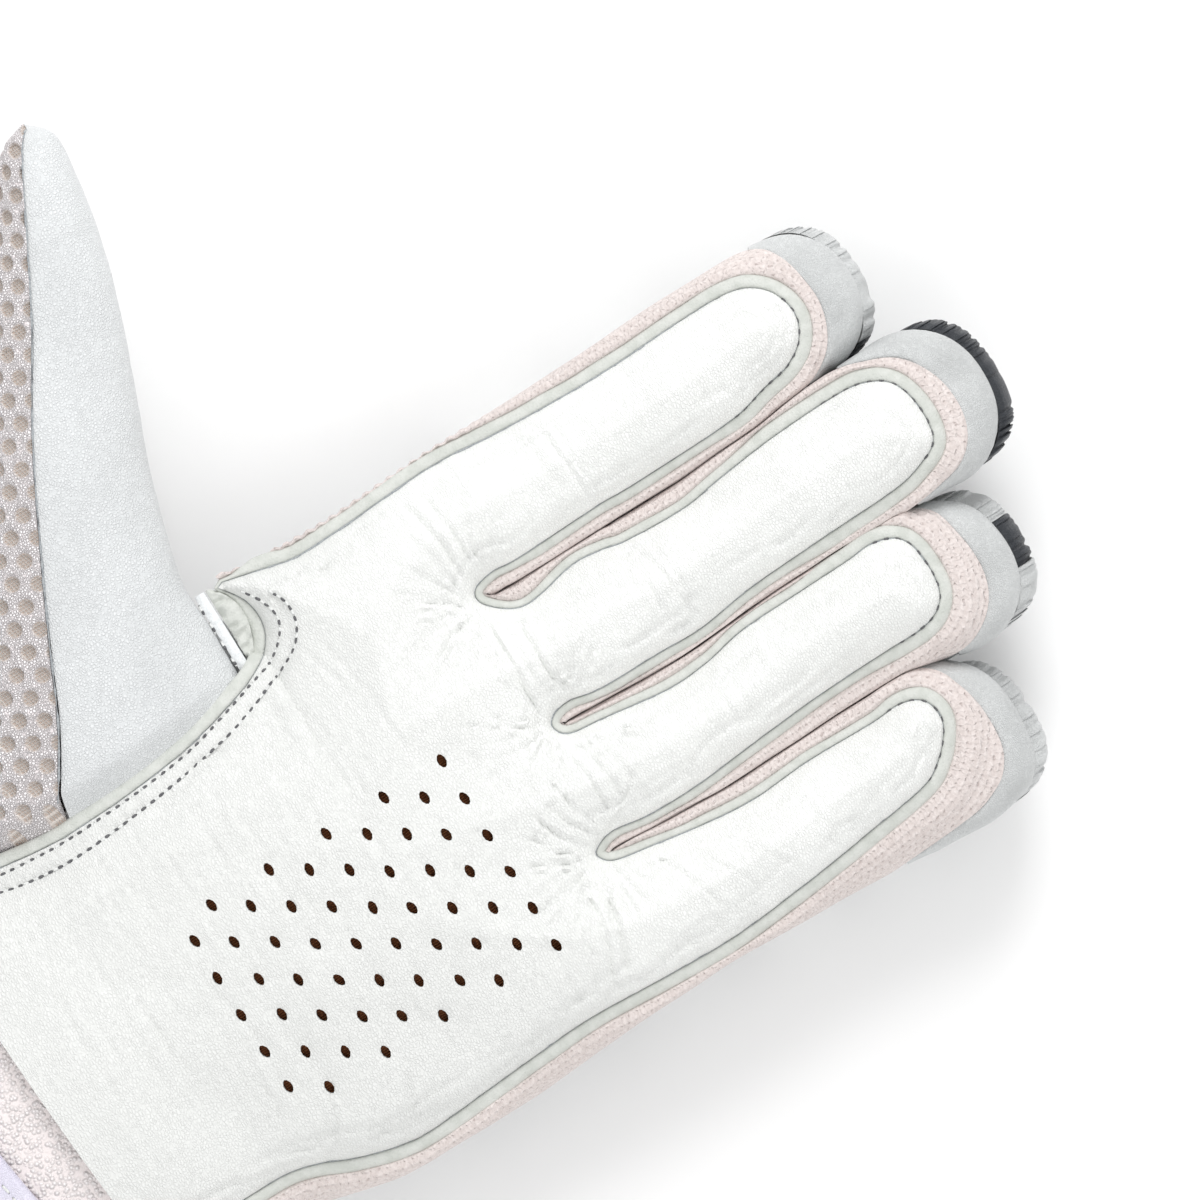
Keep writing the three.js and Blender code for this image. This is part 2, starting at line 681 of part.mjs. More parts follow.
function fingerStations(order) {
  const finger = FINGERS[order];
  const inner = stitchLine(finger);
  const outer = outerLine(order, finger.capTip);
  const count = inner.length;
  const fabricShare = (finger.fabricTip - finger.leatherTip) / (finger.capTip - finger.leatherTip);
  const tipAngle = Math.asin(fabricShare);
  const stations = inner.map((point, i) => {
    const fromMiddle = Math.abs(i - (count - 1) / 2) / ARC_STEPS;
    const reach = smooth((fromMiddle - 0.35) / 0.95);
    return { inner: point, outer: outer[i], cloth: mix(tipAngle, Math.PI / 2, reach), tip: fromMiddle };
  });
  const plain = (point, out) => ({ inner: point, outer: out, cloth: Math.PI / 2, tip: 9 });
  if (order > 0) {
    const arc = crotchHalf(order - 1, "right").slice(0, -1);
    const start = [lookUp(SLITS, CROTCHES[order - 1].bottom, CROTCHES[order - 1].slit) + GAP / 2];
    start.push(CROTCHES[order - 1].bottom);
    const path = [start, ...arc];
    stations.unshift(...path.map((point, i) => {
      const rise = 3 * (1 - i / path.length);
      return plain(point, [leftBound(order, point[1] + rise), point[1] + rise]);
    }));
  } else {
    const side = [THUMB_BORDER[THUMB_BORDER.length - 1], ...INDEX_SIDE];
    stations.unshift(...side.map((row) => plain([row.x, row.y], [leftBound(0, row.y), row.y])));
  }
  if (order < FINGERS.length - 1) {
    const arc = crotchHalf(order, "left");
    arc[arc.length - 1][0] -= GAP / 2;
    stations.push(...arc.map((point, i) => {
      const rise = 3 * ((i + 1) / arc.length);
      return plain(point, [rightBound(order, point[1] + rise), point[1] + rise]);
    }));
  } else {
    stations.push(...LITTLE_SIDE.map((row) => plain([row.x, row.y], [rightBound(order, row.y), row.y])));
  }
  return stations;
}

function wallStrip(stations, from, to) {
  const outer = stations.map((station) => evenRows(from(station), to(station), WALL_STEPS)
    .map((angle) => wallPoint(station, angle, 0)));
  const inner = stations.map((station) => evenRows(from(station), to(station), WALL_STEPS)
    .map((angle) => wallPoint(station, angle, CLOTH)));
  return thickSheet(outer, inner);
}

function gusset(order) {
  return wallStrip(fingerStations(order), () => 0, (station) => station.cloth);
}

function tipCap(order) {
  const stations = fingerStations(order).filter((station) => station.tip < 0.95);
  return wallStrip(stations, (station) => station.cloth + 0.05, () => Math.PI / 2);
}

// Gathered band round the fingertip
function tipArc(order, tip, steps) {
  const left = leftBound(order, tip - TIP_ROUND - 2, ROLL_SLITS);
  const right = rightBound(order, tip - TIP_ROUND - 2, ROLL_SLITS);
  const middle = (left + right) / 2;
  const half = (right - left) / 2;
  const points = [];
  for (let i = 0; i <= steps; i += 1) {
    const angle = Math.PI * mix(0.03, 0.97, i / steps);
    const side = Math.cos(angle);
    const x = middle - Math.sign(side) * half * Math.abs(side) ** ARC_FULLNESS;
    points.push([x, tip - TIP_ROUND + TIP_ROUND * Math.sin(angle) ** ARC_FULLNESS]);
  }
  return points;
}

function ruffle(order) {
  const finger = FINGERS[order];
  const steps = PLEATS * 2;
  const far = tipArc(order, finger.ruffleTip, steps);
  const near = tipArc(order, finger.capTip - 0.2, steps);
  const outer = far.map(([x, y], i) => RUFFLE_LEVELS.map((level) => {
    const pleat = i % 2 === 0 ? 0 : PLEAT_DEPTH / (finger.ruffleTip - finger.capTip);
    const px = mix(near[i][0], x, level.reach - pleat * level.reach);
    const py = mix(near[i][1], y, level.reach - pleat * level.reach);
    return [px, py, curl(py) + ROLL_HEIGHT * level.share];
  }));
  const inner = near.map(([x, y], i) => RUFFLE_LEVELS.map((level) => {
    const px = mix(x, far[i][0], -0.1);
    const py = y - 0.3;
    return [px, py, curl(py) + ROLL_HEIGHT * mix(level.share, 0.6, 0.15)];
  }));
  return thickSheet(outer, inner);
}

// Rolls on the backs of the fingers
function boxOutline(left, right, first, last, within) {
  const c = ROLL_CORNER;
  const start = first + within;
  const end = last - within;
  const near = [[left(start + c), start + c], [left(start) + c, start]];
  near.push([right(start) - c, start], [right(start + c), start + c]);
  const far = [[right(end - c), end - c], [right(end) - c, end]];
  far.push([left(end) + c, end], [left(end - c), end - c]);
  return [...near, ...far].map(([x, y]) => [x + within * Math.sign((left(y) + right(y)) / 2 - x), y]);
}

function fingerRoll(order, part) {
  const finger = FINGERS[order];
  const end = finger.capTip - 1.4;
  const start = mix(FINGER_ROLL_START, end, ROLL_SPLITS[part]) + GAP / 2;
  const stop = mix(FINGER_ROLL_START, end, ROLL_SPLITS[part + 1]) - GAP / 2;
  const left = (y) => leftBound(order, y, ROLL_SLITS);
  const right = (y) => rightBound(order, y, ROLL_SLITS);
  const front = tipArc(order, end, 8).reverse();
  const outlineAt = (within) => {
    const box = boxOutline(left, right, start, stop, within);
    if (part < ROLL_NAMES.length - 1) {
      return box;
    }
    const tip = [...boxOutline(left, right, start, stop, 0).slice(0, 4), ...front];
    return [...box.slice(0, 4), ...inset(tip, within).slice(4)];
  };
  const sag = CURL_RISE * ((stop - start) / 2 / CURL_RUN) ** 2;
  const flat = (x, y) => mix(curl(start), curl(stop), (y - start) / (stop - start)) - sag;
  return paddedRoll(outlineAt, flat, (x, y) => flat(x, y) + ROLL_HEIGHT);
}

// Rolls across the back of the hand
function handRoll(order) {
  const start = HAND_ROLL_ENDS[order] + GAP / 2;
  const stop = HAND_ROLL_ENDS[order + 1] - GAP / 2;
  const narrow = (y) => HEEL_NARROWING * smooth((-0.56 * PALM_REACH - y) / (0.31 * PALM_REACH));
  const left = (y) => HAND_ROLL_LEFT + narrow(y) * 1.6;
  const right = (y) => HAND_ROLL_RIGHT - narrow(y);
  const outlineAt = (within) => boxOutline(left, right, start, stop, within);
  return paddedRoll(outlineAt, () => 0, (x, y) => backBottom(y) - GAP);
}

// Thumb stall
function thumbRow(share) {
  const place = Math.min(0.9999, share) * (THUMB.length - 1);
  const first = Math.floor(place);
  const row = {};
  Object.keys(THUMB[0]).forEach((key) => {
    row[key] = mix(THUMB[first][key], THUMB[first + 1][key], place - first);
  });
  return row;
}

function thumbPoint(row, angle, thickness) {
  const cx = (row.ux + row.lx) / 2;
  const cy = (row.uy + row.ly) / 2;
  const half = Math.hypot(row.ux - cx, row.uy - cy);
  const across = Math.cos(angle) * Math.max(0.3, (half - thickness) / half);
  const x = cx + (row.ux - cx) * across + row.bow * Math.sin(angle) ** 2;
  const y = cy + (row.uy - cy) * across;
  return [x, y, row.z + Math.max(row.half * 0.3, row.half - thickness) * Math.sin(angle)];
}

function thumbSeamAngle(i) {
  return Math.acos(1 - 2 * THUMB[i].seam);
}

function thumbShell(from, to, steps) {
  const skin = (thickness) => THUMB.map((row, i) => {
    const angles = evenRows(from(i), to(i), steps);
    return angles.map((angle) => thumbPoint(row, angle, thickness));
  });
  return thickSheet(skin(0), skin(LEATHER));
}

function thumbSlack(i) {
  const row = THUMB[i];
  return GAP / Math.max(2, Math.hypot(row.ux - row.lx, row.uy - row.ly) / 2);
}

function padPoint(row, angle, swell) {
  const [x, y, z] = thumbPoint(row, angle, -swell - GAP);
  const cx = (row.ux + row.lx) / 2;
  const cy = (row.uy + row.ly) / 2;
  const half = Math.hypot(row.ux - cx, row.uy - cy);
  const held = Math.min(1, (PAD_WIDEST * half) / Math.max(0.1, Math.hypot(x - cx, y - cy)));
  return [mix(cx, x, held), mix(cy, y, held), z];
}

function thumbPad(from, to) {
  const shares = evenRows(from, to, 5);
  const angles = evenRows(PAD_FROM, PAD_TO, 6);
  const swell = (i, j) => {
    const along = Math.sin(Math.PI * mix(0.1, 0.9, i / 5)) ** 0.5;
    const across = Math.sin(Math.PI * mix(0.08, 0.92, j / 6)) ** 0.7;
    return PAD_THICKNESS * along * across;
  };
  const outer = shares.map((share, i) => {
    const row = thumbRow(share);
    return angles.map((angle, j) => padPoint(row, angle, swell(i, j)));
  });
  const inner = shares.map((share) => angles.map((angle) => thumbPoint(thumbRow(share), angle, -PAD_CLEAR)));
  return thickSheet(outer, inner);
}

function heelGusset() {
  const base = THUMB[0];
  const ys = [...evenRows(HEEL_TOP, base.ly + 0.6, 4), base.ly - 0.9, BACK_END + 0.4];
  const top = (y) => {
    if (y < base.ly) {
      return seamHeight(PALM_CORNER_LEFT, y) - LEATHER - 2 * GAP;
    }
    const share = (base.uy - y) / (base.uy - base.ly);
    return base.z - base.half * Math.sqrt(1 - (2 * share - 1) ** 2) - GAP;
  };
  const strip = (x) => ys.map((y) => [[x, y, backBottom(y) + LEATHER + 4 * GAP], [x, y, top(y)]]);
  return thickSheet(strip(HEEL_X), strip(HEEL_X + CLOTH));
}

function thumbTape() {
  const xs = evenRows(TAPE_START, TAPE_END, 4);
  const strip = (z) => xs.map((x) => [[x, TAPE_BOTTOM, z], [x, TAPE_TOP, z]]);
  return thickSheet(strip(SEAM_HEIGHT + 0.6), strip(SEAM_HEIGHT - 0.6));
}

function crotchPatch() {
  const xs = evenRows(TAPE_START + 0.8, TAPE_END - 2.2, 8);
  const low = TAPE_TOP + GAP;
  const strip = (z) => xs.map((x, i) => {
    const share = (x - xs[0]) / (xs[8] - xs[0]);
    const high = low + 0.6 + PATCH_RISE * Math.sin(Math.PI * share ** 0.8);
    const wave = i % 2 === 0 ? 0.25 : -0.25;
    return [[x, low, z + wave], [x, (low + high) / 2, z - wave * 2], [x, high, z + wave]];
  });
  return thickSheet(strip(SEAM_HEIGHT + 0.4), strip(SEAM_HEIGHT - 0.8));
}

// Wrist
function ovalPoint(angle, grow, y) {
  const x = WRIST_X + (WRIST_HALF_WIDTH + grow) * Math.cos(angle);
  return [x, y, WRIST_Z + (WRIST_HALF_HEIGHT + grow) * Math.sin(angle)];
}

function wristband() {
  const turns = evenRows(0, Math.PI * 2, BAND_TURNS).slice(1);
  const rows = evenRows(BAND_START, BAND_END, 2);
  const outer = turns.map((angle) => rows.map((y) => ovalPoint(angle, 0, y)));
  const inner = turns.map((angle) => rows.map((y) => ovalPoint(angle, -TERRY, y)));
  return thickSheet(outer, inner, true);
}

function wristStrap() {
  const turns = evenRows(STRAP_FIRST, STRAP_FIRST + STRAP_TURN, 34);
  const grow = (angle) => GAP + 0.2 + (STRAP + GAP) * smooth((angle - turns[0] - 5.5) / 0.7);
  const rows = (angle) => {
    const x = WRIST_X + WRIST_HALF_WIDTH * Math.cos(angle);
    const front = STRAP_FRONT + STRAP_SLANT * (x - WRIST_X);
    return [front, front - STRAP_WIDTH];
  };
  const outer = turns.map((angle) => rows(angle).map((y) => ovalPoint(angle, grow(angle) + STRAP, y)));
  const inner = turns.map((angle) => rows(angle).map((y) => ovalPoint(angle, grow(angle), y)));
  return thickSheet(outer, inner);
}

// Assembly
const COLOURS = {
  leather: 0xf2f3f1, binding: 0xdde0d8, cloth: 0xf0e4e2, coated: 0xd9dddd, dark: 0x34383e,
  pebbled: 0xe1e8e8, mesh: 0xf0e8eb, terry: 0xf1e6e4, strap: 0xece8fa,
};

const glove = new THREE.Group();
glove.name = "cricket_batting_glove";

function add(name, geometry, colour) {
  const plain = geometry.index ? geometry : mergeVertices(geometry);
  plain.computeVertexNormals();
  const mesh = new THREE.Mesh(plain, new THREE.MeshStandardMaterial({ color: COLOURS[colour] }));
  mesh.name = name;
  glove.add(mesh);
}

add("palm_leather", cutSheet(
  SEAM, ventHoles(), (y) => palmColumns(y, [0.2, 0.5, 0.8], 0.4), PALM_ROWS, palmHeight, LEATHER,
), "leather");

const bindingInner = offsetSeam(GAP + 0.1);
const bindingOuter = offsetSeam(GAP + BINDING_WIDTH);
const bindingRow = (drop) => SEAM.map(([x, y], i) => [
  [...bindingInner[i], seamHeight(x, y) - drop],
  [...bindingOuter[i], seamHeight(x, y) - drop - 0.4],
]);
add("palm_binding", thickSheet(bindingRow(0), bindingRow(1.2)), "binding");

FINGERS.forEach((finger, order) => {
  add(`${finger.name}_gusset`, gusset(order), "cloth");
  add(`${finger.name}_tip_cap`, tipCap(order), "coated");
  add(`${finger.name}_tip_ruffle`, ruffle(order), finger.name === "middle" ? "dark" : "coated");
  ROLL_NAMES.forEach((name, part) => {
    add(`${finger.name}_roll_${name}`, fingerRoll(order, part), "coated");
  });
});

const backOutline = offsetSeam(2.2).filter(([x, y]) => y > BACK_END);
backOutline.push([PALM_CORNER_RIGHT + 1, BACK_END], [PALM_CORNER_LEFT - 1, BACK_END]);
add("back_panel", cutSheet(
  backOutline, [], (y) => palmColumns(y, [0.5], 0), BACK_ROWS,
  (x, y) => backBottom(y) + LEATHER, LEATHER,
), "cloth");

for (let order = 0; order < HAND_ROLL_ENDS.length - 1; order += 1) {
  add(`hand_roll_${order + 1}`, handRoll(order), "coated");
}

add("thumb_leather", thumbShell(() => THUMB_UNDER, thumbSeamAngle, 6), "pebbled");
add("thumb_mesh", thumbShell(
  (i) => thumbSeamAngle(i) + thumbSlack(i), (i) => Math.PI * 2 + THUMB_UNDER - thumbSlack(i), 7,
), "mesh");
add("thumb_roll_base", thumbPad(0.24, 0.56), "coated");
add("thumb_roll_tip", thumbPad(0.57, 0.9), "coated");
add("thumb_tape", thumbTape(), "strap");
add("thumb_crotch_patch", crotchPatch(), "leather");
add("heel_gusset", heelGusset(), "cloth");
add("wristband", wristband(), "terry");
add("wrist_strap", wristStrap(), "strap");

// The origin is the middle of the underside
const bounds = new THREE.Box3().setFromObject(glove);
glove.children.forEach((mesh) => mesh.geometry.translate(
  -(bounds.min.x + bounds.max.x) / 2, -(bounds.min.y + bounds.max.y) / 2, -bounds.min.z,
));

export default glove;
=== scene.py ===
"""Looks of a left-hand cricket batting glove that lies palm up on its padded back.

Shapes are worked out in millimetres on the hand: x across it with the thumb at -x, y along the fingers, z up
from the floor. piece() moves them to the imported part's frame, in metres.
"""
import math

import bpy
import numpy as np
from mathutils import Matrix, Vector
from mathutils.geometry import delaunay_2d_cdt


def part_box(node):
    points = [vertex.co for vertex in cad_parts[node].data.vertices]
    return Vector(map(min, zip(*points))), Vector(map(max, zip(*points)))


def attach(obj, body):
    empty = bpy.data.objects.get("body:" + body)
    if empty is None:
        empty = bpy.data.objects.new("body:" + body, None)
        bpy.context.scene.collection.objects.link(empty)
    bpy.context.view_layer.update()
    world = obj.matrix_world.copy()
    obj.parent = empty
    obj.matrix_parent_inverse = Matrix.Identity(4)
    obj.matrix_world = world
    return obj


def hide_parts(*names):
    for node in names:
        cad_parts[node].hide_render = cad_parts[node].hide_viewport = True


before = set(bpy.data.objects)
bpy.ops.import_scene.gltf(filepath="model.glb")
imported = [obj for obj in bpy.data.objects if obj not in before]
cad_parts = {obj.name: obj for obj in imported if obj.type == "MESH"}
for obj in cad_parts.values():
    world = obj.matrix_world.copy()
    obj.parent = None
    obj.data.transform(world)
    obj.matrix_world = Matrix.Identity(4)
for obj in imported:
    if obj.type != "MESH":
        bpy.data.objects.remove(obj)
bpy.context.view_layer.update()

MM = 0.001
HALF_PI = math.pi / 2

# The roll under the knuckles ties the hand's own lines to the part's frame
KNUCKLE_ROLL_LEFT = -50.96
KNUCKLE_ROLL_FAR = 7.05
knuckle_low, knuckle_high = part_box("hand_roll_4")
SHIFT = np.array([knuckle_low.x / MM - KNUCKLE_ROLL_LEFT, knuckle_high.y / MM - KNUCKLE_ROLL_FAR, 0.0])

# Thicknesses and heights
LEATHER = 1.5
CLOTH = 1.3
TERRY = 3.0
STRAP = 2.0
GAP = 0.3
ROLL_HEIGHT = 16.7
BACK_BOTTOM = 17.0
SEAM_HEIGHT = 31.5
CURL_START = 8.0
CURL_RUN = 92.3
CURL_RISE = 13.0
WRIST_X = 6.03
WRIST_Z = 27.5
WRIST_HALF_WIDTH = 41.0
WRIST_HALF_HEIGHT = 17.0
PALM_CLEAR = 2.6
WRIST_EDGE = -117.0
WRIST_SLANT = 0.046
BAND_START = -112.0
BAND_END = -167.0
THUMB_TOP = -39.9
THUMB_BOTTOM = -112.0
BINDING = 2.55
SEAM_STEP = 0.7
FINGER_ROLL_START = 7.5
HAND_ROLL_ENDS = [-98.98, -76.05, -49.96, -22.0, 7.2]
STRAP_START = -1.9
STRAP_OVERLAP = 5.5
STRAP_TURN = math.pi * 2.2
STRAP_EDGE = -129.5
STRAP_SLANT = 0.12
STRAP_WIDTH = 31
STRAP_ROW_INSETS = (3.0, 28.0)

# The palm's leather turns from greyer to whiter between these places along the frame: painted shade over the palm,
# lighter along the fingers
PALM_SHADE_START = -10.0
PALM_SHADE_END = 40.0

# Slits between the fingers and the outer sides, as x at each y
SLIT_Y = [-8, 5, 25, 45, 60, 74, 90]
SLITS = [
    [-27.2, -27.0, -26.8, -26.8, -27.6, -29.0, -29.0],
    [-0.5, 0.5, 1.5, 0.2, -0.2, 0.5, 1.1],
    [24.6, 25.6, 26.4, 25.8, 25.8, 29.4, 29.4],
]
SIDE_Y = [-111, -88, -70, -40, -15, 5, 30, 55, 90]
INDEX_SIDE = [-55.5, -55.5, -55.5, -56.6, -55.5, -56.5, -56.5, -57.2, -56.5]
LITTLE_SIDE = [47.0, 52.5, 56.5, 57.0, 55.2, 54.8, 56.3, 58.0, 57.6]
ROLL_SLIT_Y = [8, 60, 100]
ROLL_SLITS = [[-27.6, -28.8, -29.0], [0.6, 1.0, 1.1], [27.6, 29.2, 29.5]]

# Far ends of every finger's bands, and how far the tip's arc drops at each side
FINGERS = [
    {"name": "index", "cloth": 81.5, "cap": 90.2, "ruffle": 92.9, "drop_left": 9.0, "drop_right": 10.0},
    {"name": "middle", "cloth": 93.3, "cap": 101.2, "ruffle": 104.7, "drop_left": 9.0, "drop_right": 9.0},
    {"name": "ring", "cloth": 81.0, "cap": 88.4, "ruffle": 92.5, "drop_left": 7.0, "drop_right": 8.0},
    {"name": "little", "cloth": 68.0, "cap": 73.6, "ruffle": 77.0, "drop_left": 7.0, "drop_right": 7.0},
]

# Where each finger's side cloth gives way to the coated cap, from its left side round the tip to its right side
CLOTH_LINES = [
    [(-59, 71), (-56.8, 76), (-55, 78.3), (-52, 80), (-48, 81), (-44, 81.7), (-40, 81.6), (-37, 80.5), (-34, 79),
     (-31.5, 76.8), (-29.8, 74), (-27.5, 70)],
    [(-31, 73), (-29.4, 77), (-28.2, 80), (-26.3, 85), (-24.5, 88), (-22, 90.3), (-18, 92.6), (-14, 93.5),
     (-10, 93.4), (-7, 92.5), (-4, 90.5), (-2, 88), (-0.9, 85), (-0.4, 82), (0.2, 78), (1.5, 72)],
    [(-1, 76.4), (3, 79), (6, 80), (9, 81), (12, 81.6), (16, 81.5), (19, 81), (22, 79.6), (25, 76.6), (27, 73),
     (28.3, 69), (29.5, 62)],
    [(27, 63.4), (31, 65), (34, 66.5), (38, 67.6), (42, 68), (46, 67.6), (50, 66), (52.5, 63), (54, 60), (55, 56),
     (55.6, 50), (56.2, 42), (57.5, 30)],
]

# Stitch line of the palm leather: up the thumb base, round the fingers and down the little finger's side
THUMB_BASE_LINE = [
    (-33.2, -119.3), (-33.8, -111), (-32.2, -101), (-30.9, -90), (-31.0, -80), (-31.6, -70), (-32.9, -60),
    (-35.4, -50), (-37.8, -43.5), (-40.6, -39.5), (-44.5, -37.2), (-49, -37.0), (-52.2, -38.3), (-55.2, -40.5),
]
INDEX_LINE = [
    (-55.7, -39.4), (-54.6, -35), (-53.3, -30), (-52.3, -25), (-52.4, -15),
    (-53.3, 5), (-52, 20), (-51.1, 40), (-51.6, 60),
    (-51, 70), (-47.5, 75.2), (-42, 77), (-37.2, 75.2), (-34.2, 70.9), (-32.9, 64.8), (-31.1, 56.1),
    (-30.7, 35.2), (-30.9, 27.4), (-30.5, 10), (-30.9, 4.3), (-29.8, -0.1), (-27.2, -0.8),
]
MIDDLE_LINE = [
    (-23.9, 2.2), (-22.2, 5.7), (-22.4, 10), (-23.9, 17.8), (-23.3, 24.3), (-22.4, 28.3), (-21.8, 40.4),
    (-22.9, 49.1), (-24.2, 61.3), (-24.6, 75.2), (-23.7, 81.3), (-20.6, 85.6), (-14.2, 87.2), (-8.1, 86.1),
    (-5.5, 81.3), (-4.2, 75.2), (-3.7, 61.3), (-2.9, 43.9), (-1.4, 31.7), (-1.6, 23), (-1.8, 10), (-2.9, 3.9),
    (-2.4, 0.2), (-0.4, -1.6),
]
RING_LINE = [
    (2.4, 0.4), (3.4, 7.4), (5.2, 20.4), (4.8, 29.1), (3.2, 37.8), (2.8, 49.1), (2.5, 61.3), (2.2, 66.5),
    (3.7, 70.9), (7.6, 73), (14.5, 73), (18.4, 70.9), (20.2, 66.5), (20.4, 57.8), (20.8, 43.9), (21.9, 29.1),
    (23, 16.1), (23.0, 5.7), (21.9, -2.2), (23.0, -6.2), (24.6, -7.2),
]
LITTLE_LINE = [
    (26.9, -4.8), (28.4, 3), (30, 12.6), (31, 23), (30.3, 35.2), (30.5, 49.1), (30.2, 55), (31.6, 59.0),
    (35.0, 60.6), (38.5, 59.6), (42.6, 56.0), (45.4, 50.9), (47.4, 37.8), (49.1, 24.8), (50.6, 7.4),
    (50.2, -7.4), (49.3, -23), (49.5, -31.1), (50.3, -44.1), (51.3, -59.8), (50.8, -65.9), (48.4, -74.6),
    (45.4, -81.5), (43.9, -87.7), (43.6, -96), (43.2, -108), (42.6, -115.3),
]

# Stitch rows at the thumb base
THUMB_ROW_OUTER = [
    (-31.8, -106), (-31, -100), (-30.2, -90), (-30.4, -80), (-31, -70), (-32.3, -60), (-35, -50), (-36.6, -45),
    (-38.4, -39.5), (-41.6, -35.4), (-45, -33.9), (-49, -35), (-53.0, -37.6),
]
THUMB_ROW_INNER = [
    (-29.6, -108), (-27.6, -100), (-26.6, -90), (-27, -80), (-28, -70), (-29.5, -60), (-31.7, -50),
    (-35.5, -40), (-38.1, -34.4), (-42, -31.4), (-46.3, -31.1), (-50.2, -33.0),
]

# Folds beside the stitches: distance from them, half width and depth
SEAM_WRINKLES = [(1.6, 0.4, 0.45), (2.7, 0.44, 0.7), (3.9, 0.5, 0.75), (5.3, 0.55, 0.5)]

# Creases of the palm: the two ends, sideways bend, width and depth
CREASES = [
    (-22, 4.0, -4, 4.6, -1.0, 0.8, 0.55), (-28, -2.6, -2, -2.4, 0.8, 0.8, 0.55),
    (-20, 1.2, -5, 1.4, -0.5, 0.5, 0.2),
    (-52, -3.6, -31, -1.0, 1.0, 0.9, 0.45), (-51, 0.5, -32, 1.8, 0.6, 0.6, 0.3),
    (-46, -6, -30, -3, 0.8, 0.6, 0.25),
    (4, 3.4, 22, 6.8, 0.8, 0.7, 0.3), (3, -0.5, 20, 2.6, 1.2, 0.7, 0.3), (2, -3.4, 20, -0.6, 0.9, 0.7, 0.35),
    (9, -10.5, 22, -4.0, -1.0, 0.6, 0.4), (11, -13.2, 23, -6.5, -1.0, 0.6, 0.4),
    (7, -7.6, 21, -2.4, -0.9, 0.5, 0.3),
    (14, -16, 24, -9, -0.8, 0.6, 0.3), (19, -19, 25, -10, 0.6, 0.6, 0.25),
    (25.4, -9, 27.5, -24, 0.8, 0.8, 0.35),
    (26, -9, 49, -15.5, 1.2, 0.8, 0.5), (27, -12, 49, -18.5, 1.4, 0.7, 0.45),
    (29, -16, 47, -21, 1.0, 0.6, 0.25),
    (29, 1, 46, 8, 0.8, 0.7, 0.3), (30, 6, 47, 16, 1.0, 0.6, 0.25), (31, 12, 47, 24, 0.8, 0.6, 0.22),
    (-51, 25, -32, 26.5, 0.6, 0.6, 0.3), (-50, 28.5, -33, 29, -0.4, 0.6, 0.22),
    (-51, 22, -34, 23.4, 0.4, 0.5, 0.2),
    (-22, 29, -3, 31.8, 0.5, 0.6, 0.3), (-21, 32.5, -4, 33.6, -0.4, 0.6, 0.22),
    (-23, 26.6, -4, 28, 0.4, 0.5, 0.2),
    (6, 31, 21, 32, 0.4, 0.5, 0.2), (5, 27, 21, 28.6, 0.4, 0.5, 0.18), (33, 30, 46, 33, 0.5, 0.5, 0.18),
    (-28, -3, -36, -12, 0.8, 0.6, 0.3), (-27.5, -3, -30, -14, 0.5, 0.6, 0.25),
    (-26, -3, -22, -12, -0.6, 0.6, 0.25),
    (-25, -2, -16, -8, -0.6, 0.6, 0.25), (-1, -3.5, -8, -10, 0.6, 0.6, 0.25),
    (-0.5, -3.5, -1, -13, 0.4, 0.6, 0.2),
    (0.5, -3.5, 7, -10, -0.5, 0.6, 0.25), (-38, -30, -8, -27, 1.6, 0.8, 0.18),
    (-24, -45, 2, -41, 1.4, 0.8, 0.18),
    (-20, -60, 12, -57, 1.2, 0.9, 0.2), (0, -80, 40, -84, 1.4, 0.9, 0.18), (-14, -96, 30, -99, 1.6, 1.0, 0.22),
    (-10, -105, 36, -107, 1.2, 1.0, 0.25), (38, -58, 50, -63, 0.6, 0.7, 0.3),
    (34, -72, 47, -78, 0.6, 0.7, 0.28),
    (-34, -36.5, -29, -60, 1.0, 1.0, 0.2),
]
CREASE_NARROW = 0.75
CREASE_DEEPEN = 1.9
FINE_CREASES = 110
FINGER_FINE_CREASES = 26

# Fans of creases: where they start, from which angle to which, and how many
CREASE_FANS = [
    (-26.5, -1.5, 190, 350, 15), (-0.6, -2.0, 185, 355, 15),
    (24.2, -7.4, 150, 330, 18), (26.0, -6.0, 330, 395, 9),
    (22.5, -4.0, 95, 150, 7), (-2.6, 3.0, 110, 160, 6), (2.4, 2.0, 20, 70, 6), (-29.5, 2, 120, 170, 6),
]

# Fine creases lie across each finger's pad, between these corners
FINGER_CREASES = {
    "index": ((-52, 4), (-31, 74)), "middle": ((-22, 8), (-3, 84)), "ring": ((4, 8), (21, 71)),
    "little": ((30, 2), (47, 58)),
}

# Vent holes: pointed leaves in staggered rows
VENT_ROWS = 10
VENT_PITCH = (8.0, 6.2)
VENT_CENTRE = (14.04, -49.96)
VENT_HALF = (1.4, 0.85)

# Thumb stall, from the palm to the tip: edge towards the fingers, outer edge, share of the seam, middle height,
# half height and bow
THUMB_COLUMNS = ["ux", "uy", "lx", "ly", "seam", "z", "half", "bow"]
THUMB = np.array([
    [-38.95, -45.9, -37.44, -109.0, 0.65, 31.5, 11.5, 3.2],
    [-49.97, -45.7, -50.4, -104.0, 0.557, 32.0, 13.0, 2.0],
    [-60.98, -45.5, -63.9, -95.5, 0.52, 32.5, 13.5, 0.8],
    [-74.92, -41.4, -79.99, -84.4, 0.515, 33.0, 13.5, 0],
    [-91.98, -34.7, -99.97, -69.5, 0.545, 33.5, 12.5, 0],
    [-108.9, -28.4, -117.9, -54.5, 0.56, 34.0, 11.0, 0],
    [-122.98, -24.2, -130.97, -43.1, 0.6, 34.5, 9.5, 0],
    [-133.99, -22.3, -139.7, -36.0, 0.6, 35.0, 8.0, 0],
    [-141.4, -21.4, -144.9, -31.0, 0.6, 35.3, 5.6, 0],
    [-144.6, -22.6, -146.6, -27.0, 0.6, 35.4, 2.4, 0],
])
THUMB_UNDER = -0.9

